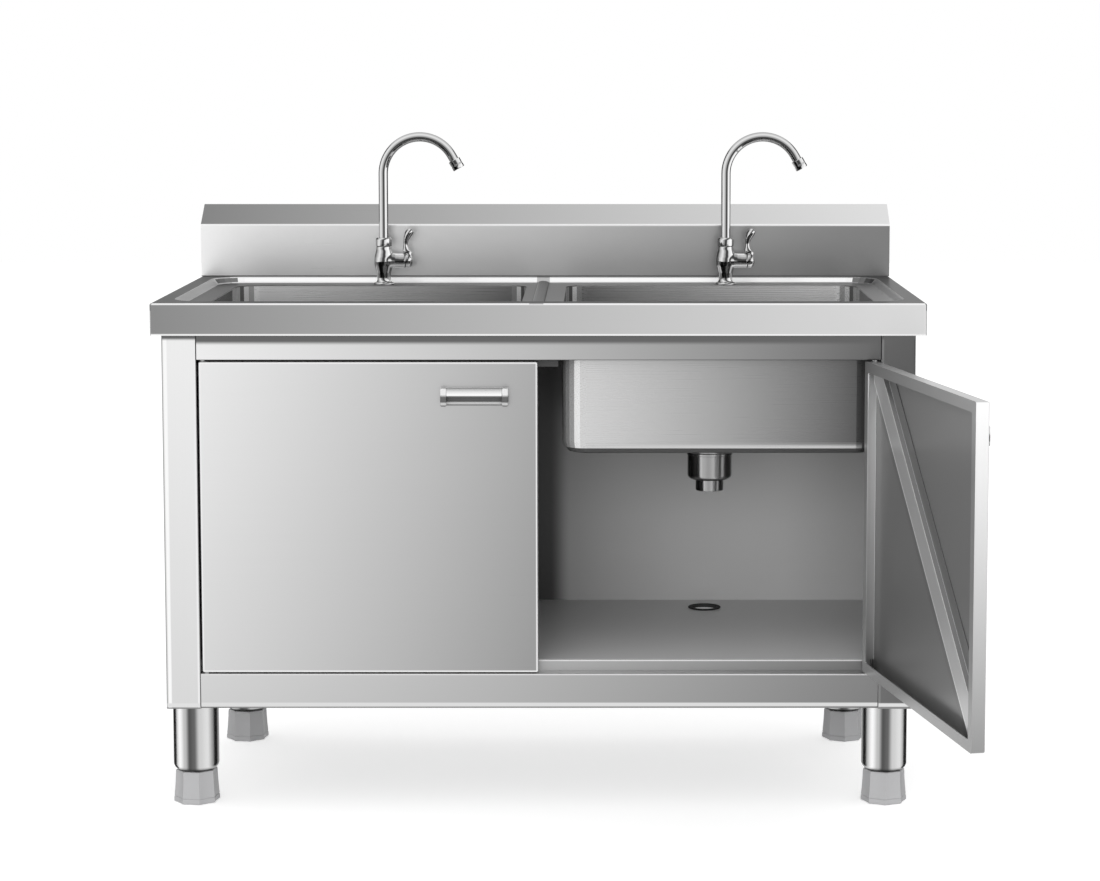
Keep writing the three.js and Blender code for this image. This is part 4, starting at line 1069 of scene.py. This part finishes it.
def dress_cad_nodes(look):
    finishes = {"sink_deck": "deck", "splashback": "splash", "top_rail": "top_rail",
                "bottom_rail": "bottom_rail",
                "deck_brace": "hidden", "back_panel": "back", "bottom_shelf": "shelf", "door_catch": "dark"}
    for side in SIDES:
        finishes |= {
            f"bowl_{side}": f"bowl_{side}", f"side_panel_{side}": "sides", f"door_{side}": f"door_{side}",
            f"door_brace_{side}": f"brace_{side}", f"handle_bracket_{side}": "bracket",
            f"handle_grip_{side}": "grip",
            f"pipe_grommet_{side}": "rubber", f"drain_seal_{side}": "rubber",
        }
        for part in ("strainer_flange", "drain_nut", "drain_cup", "drain_outlet", "strainer_basket",
                     "tap_nut",
                     "hinge_pin_upper", "hinge_pin_lower"):
            finishes[f"{part}_{side}"] = "bright"
        for part in ("tap_body", "tap_collar", "tap_lever", "spout", "aerator"):
            finishes[f"{part}_{side}"] = "chrome"
        for end in ("front", "rear"):
            finishes |= {f"leg_{end}_{side}": "tube", f"foot_{end}_{side}": "foot"}
    for node, finish in finishes.items():
        NODES[node].data.materials.clear()
        NODES[node].data.materials.append(look[finish])
        smooth(NODES[node], 32)
        weighted = NODES[node].modifiers.new("even_shading", "WEIGHTED_NORMAL")
        weighted.keep_sharp = True
    missing = set(NODES) - set(finishes)
    if missing:
        raise ValueError(f"no finish for {sorted(missing)}")


# ------------------------------------------------------------------ studio

WORLD_ON_MATT = 0.78
FRONT_LAMP_WATTS = 45
FLOOR_TONE = 0.86
FLOOR_GLOW = 0.5
FLAG_TONE = 0.03


def studio_world():
    world = bpy.data.worlds.new("studio")
    bpy.context.scene.world = world
    world.use_nodes = True
    tree = world.node_tree
    background = tree.nodes["Background"]
    rays = add_node(tree, "ShaderNodeLightPath").outputs
    seen = maths(tree, "MAXIMUM", rays["Is Camera Ray"], rays["Is Glossy Ray"])
    seen = maths(tree, "MAXIMUM", seen, rays["Is Transmission Ray"])
    put(tree, background.inputs["Strength"], between(tree, seen, 0, 1, WORLD_ON_MATT, 1.0, kind="LINEAR"))
    background.inputs["Color"].default_value = (1, 1, 1, 1)


def floor():
    bm = bmesh.new()
    bmesh.ops.create_grid(bm, x_segments=1, y_segments=1, size=12)
    bmesh.ops.translate(bm, vec=(UNIT_X, 0, -0.5 * MM), verts=bm.verts)
    piece = object_of("studio_floor", bm)
    material, tree, shader = blank_material("studio_floor", Roughness=0.9, Specular_IOR_Level=0.0)
    shader.inputs["Base Color"].default_value = (FLOOR_TONE,) * 3 + (1,)
    shader.inputs["Emission Color"].default_value = (1, 1, 1, 1)
    rays = add_node(tree, "ShaderNodeLightPath").outputs
    put(tree, shader.inputs["Emission Strength"], maths(tree, "MULTIPLY", rays["Is Camera Ray"], FLOOR_GLOW))
    piece.data.materials.append(material)
    piece.visible_glossy = False


def flag(name, azimuth, width, distance=4.5, height=7.0):
    """A dark upright card for the metal to reflect, out of the camera's sight. Azimuth 0 is straight before
    the unit, and a positive one lies to its right."""
    angle = math.radians(azimuth)
    centre = Vector((UNIT_X + distance * math.sin(angle), FASCIA_Y - distance * math.cos(angle), 0.5))
    half = distance * math.tan(math.radians(width) / 2)
    aside = Vector((math.cos(angle), math.sin(angle), 0)) * half
    rise = Vector((0, 0, height / 2))
    bm = bmesh.new()
    corners = [centre - aside - rise, centre + aside - rise, centre + aside + rise, centre - aside + rise]
    bm.faces.new([bm.verts.new(corner) for corner in corners])
    piece = object_of(name, bm)
    material, _, shader = blank_material(name, Roughness=1.0, Specular_IOR_Level=0.0)
    shader.inputs["Base Color"].default_value = (FLAG_TONE,) * 3 + (1,)
    piece.data.materials.append(material)
    piece.visible_camera = False
    piece.visible_diffuse = False
    piece.visible_shadow = False


def soft_lamp(name, place, aim, size, watts):
    """A broad lamp that lights matt surfaces and isn't reflected in the metal."""
    data = bpy.data.lights.new(name, "AREA")
    data.shape = "RECTANGLE"
    data.size, data.size_y = size
    data.energy = watts
    lamp = bpy.data.objects.new(name, data)
    lamp.location = place
    lamp.rotation_euler = (Vector(place) - Vector(aim)).to_track_quat("Z", "Y").to_euler()
    lamp.visible_camera = False
    lamp.visible_glossy = False
    bpy.context.scene.collection.objects.link(lamp)


def studio():
    bpy.context.scene.view_settings.view_transform = "Standard"
    studio_world()
    floor()
    flag("flag_behind_left", -128, 36)
    flag("flag_behind_right", 128, 36)
    soft_lamp("front_lamp", (UNIT_X, FASCIA_Y - 3.4, 1.1), (UNIT_X, FASCIA_Y, 0.45), (3.2, 1.6),
              FRONT_LAMP_WATTS)


# ------------------------------------------------------------------ the whole scene

photo_camera()
LOOK = all_materials()
dress_cad_nodes(LOOK)
leg_tubes(LOOK)
feet(LOOK)
drains(LOOK)
tap_bodies(LOOK)
tap_levers(LOOK)
spouts(LOOK)
studio()

bpy.context.view_layer.update()
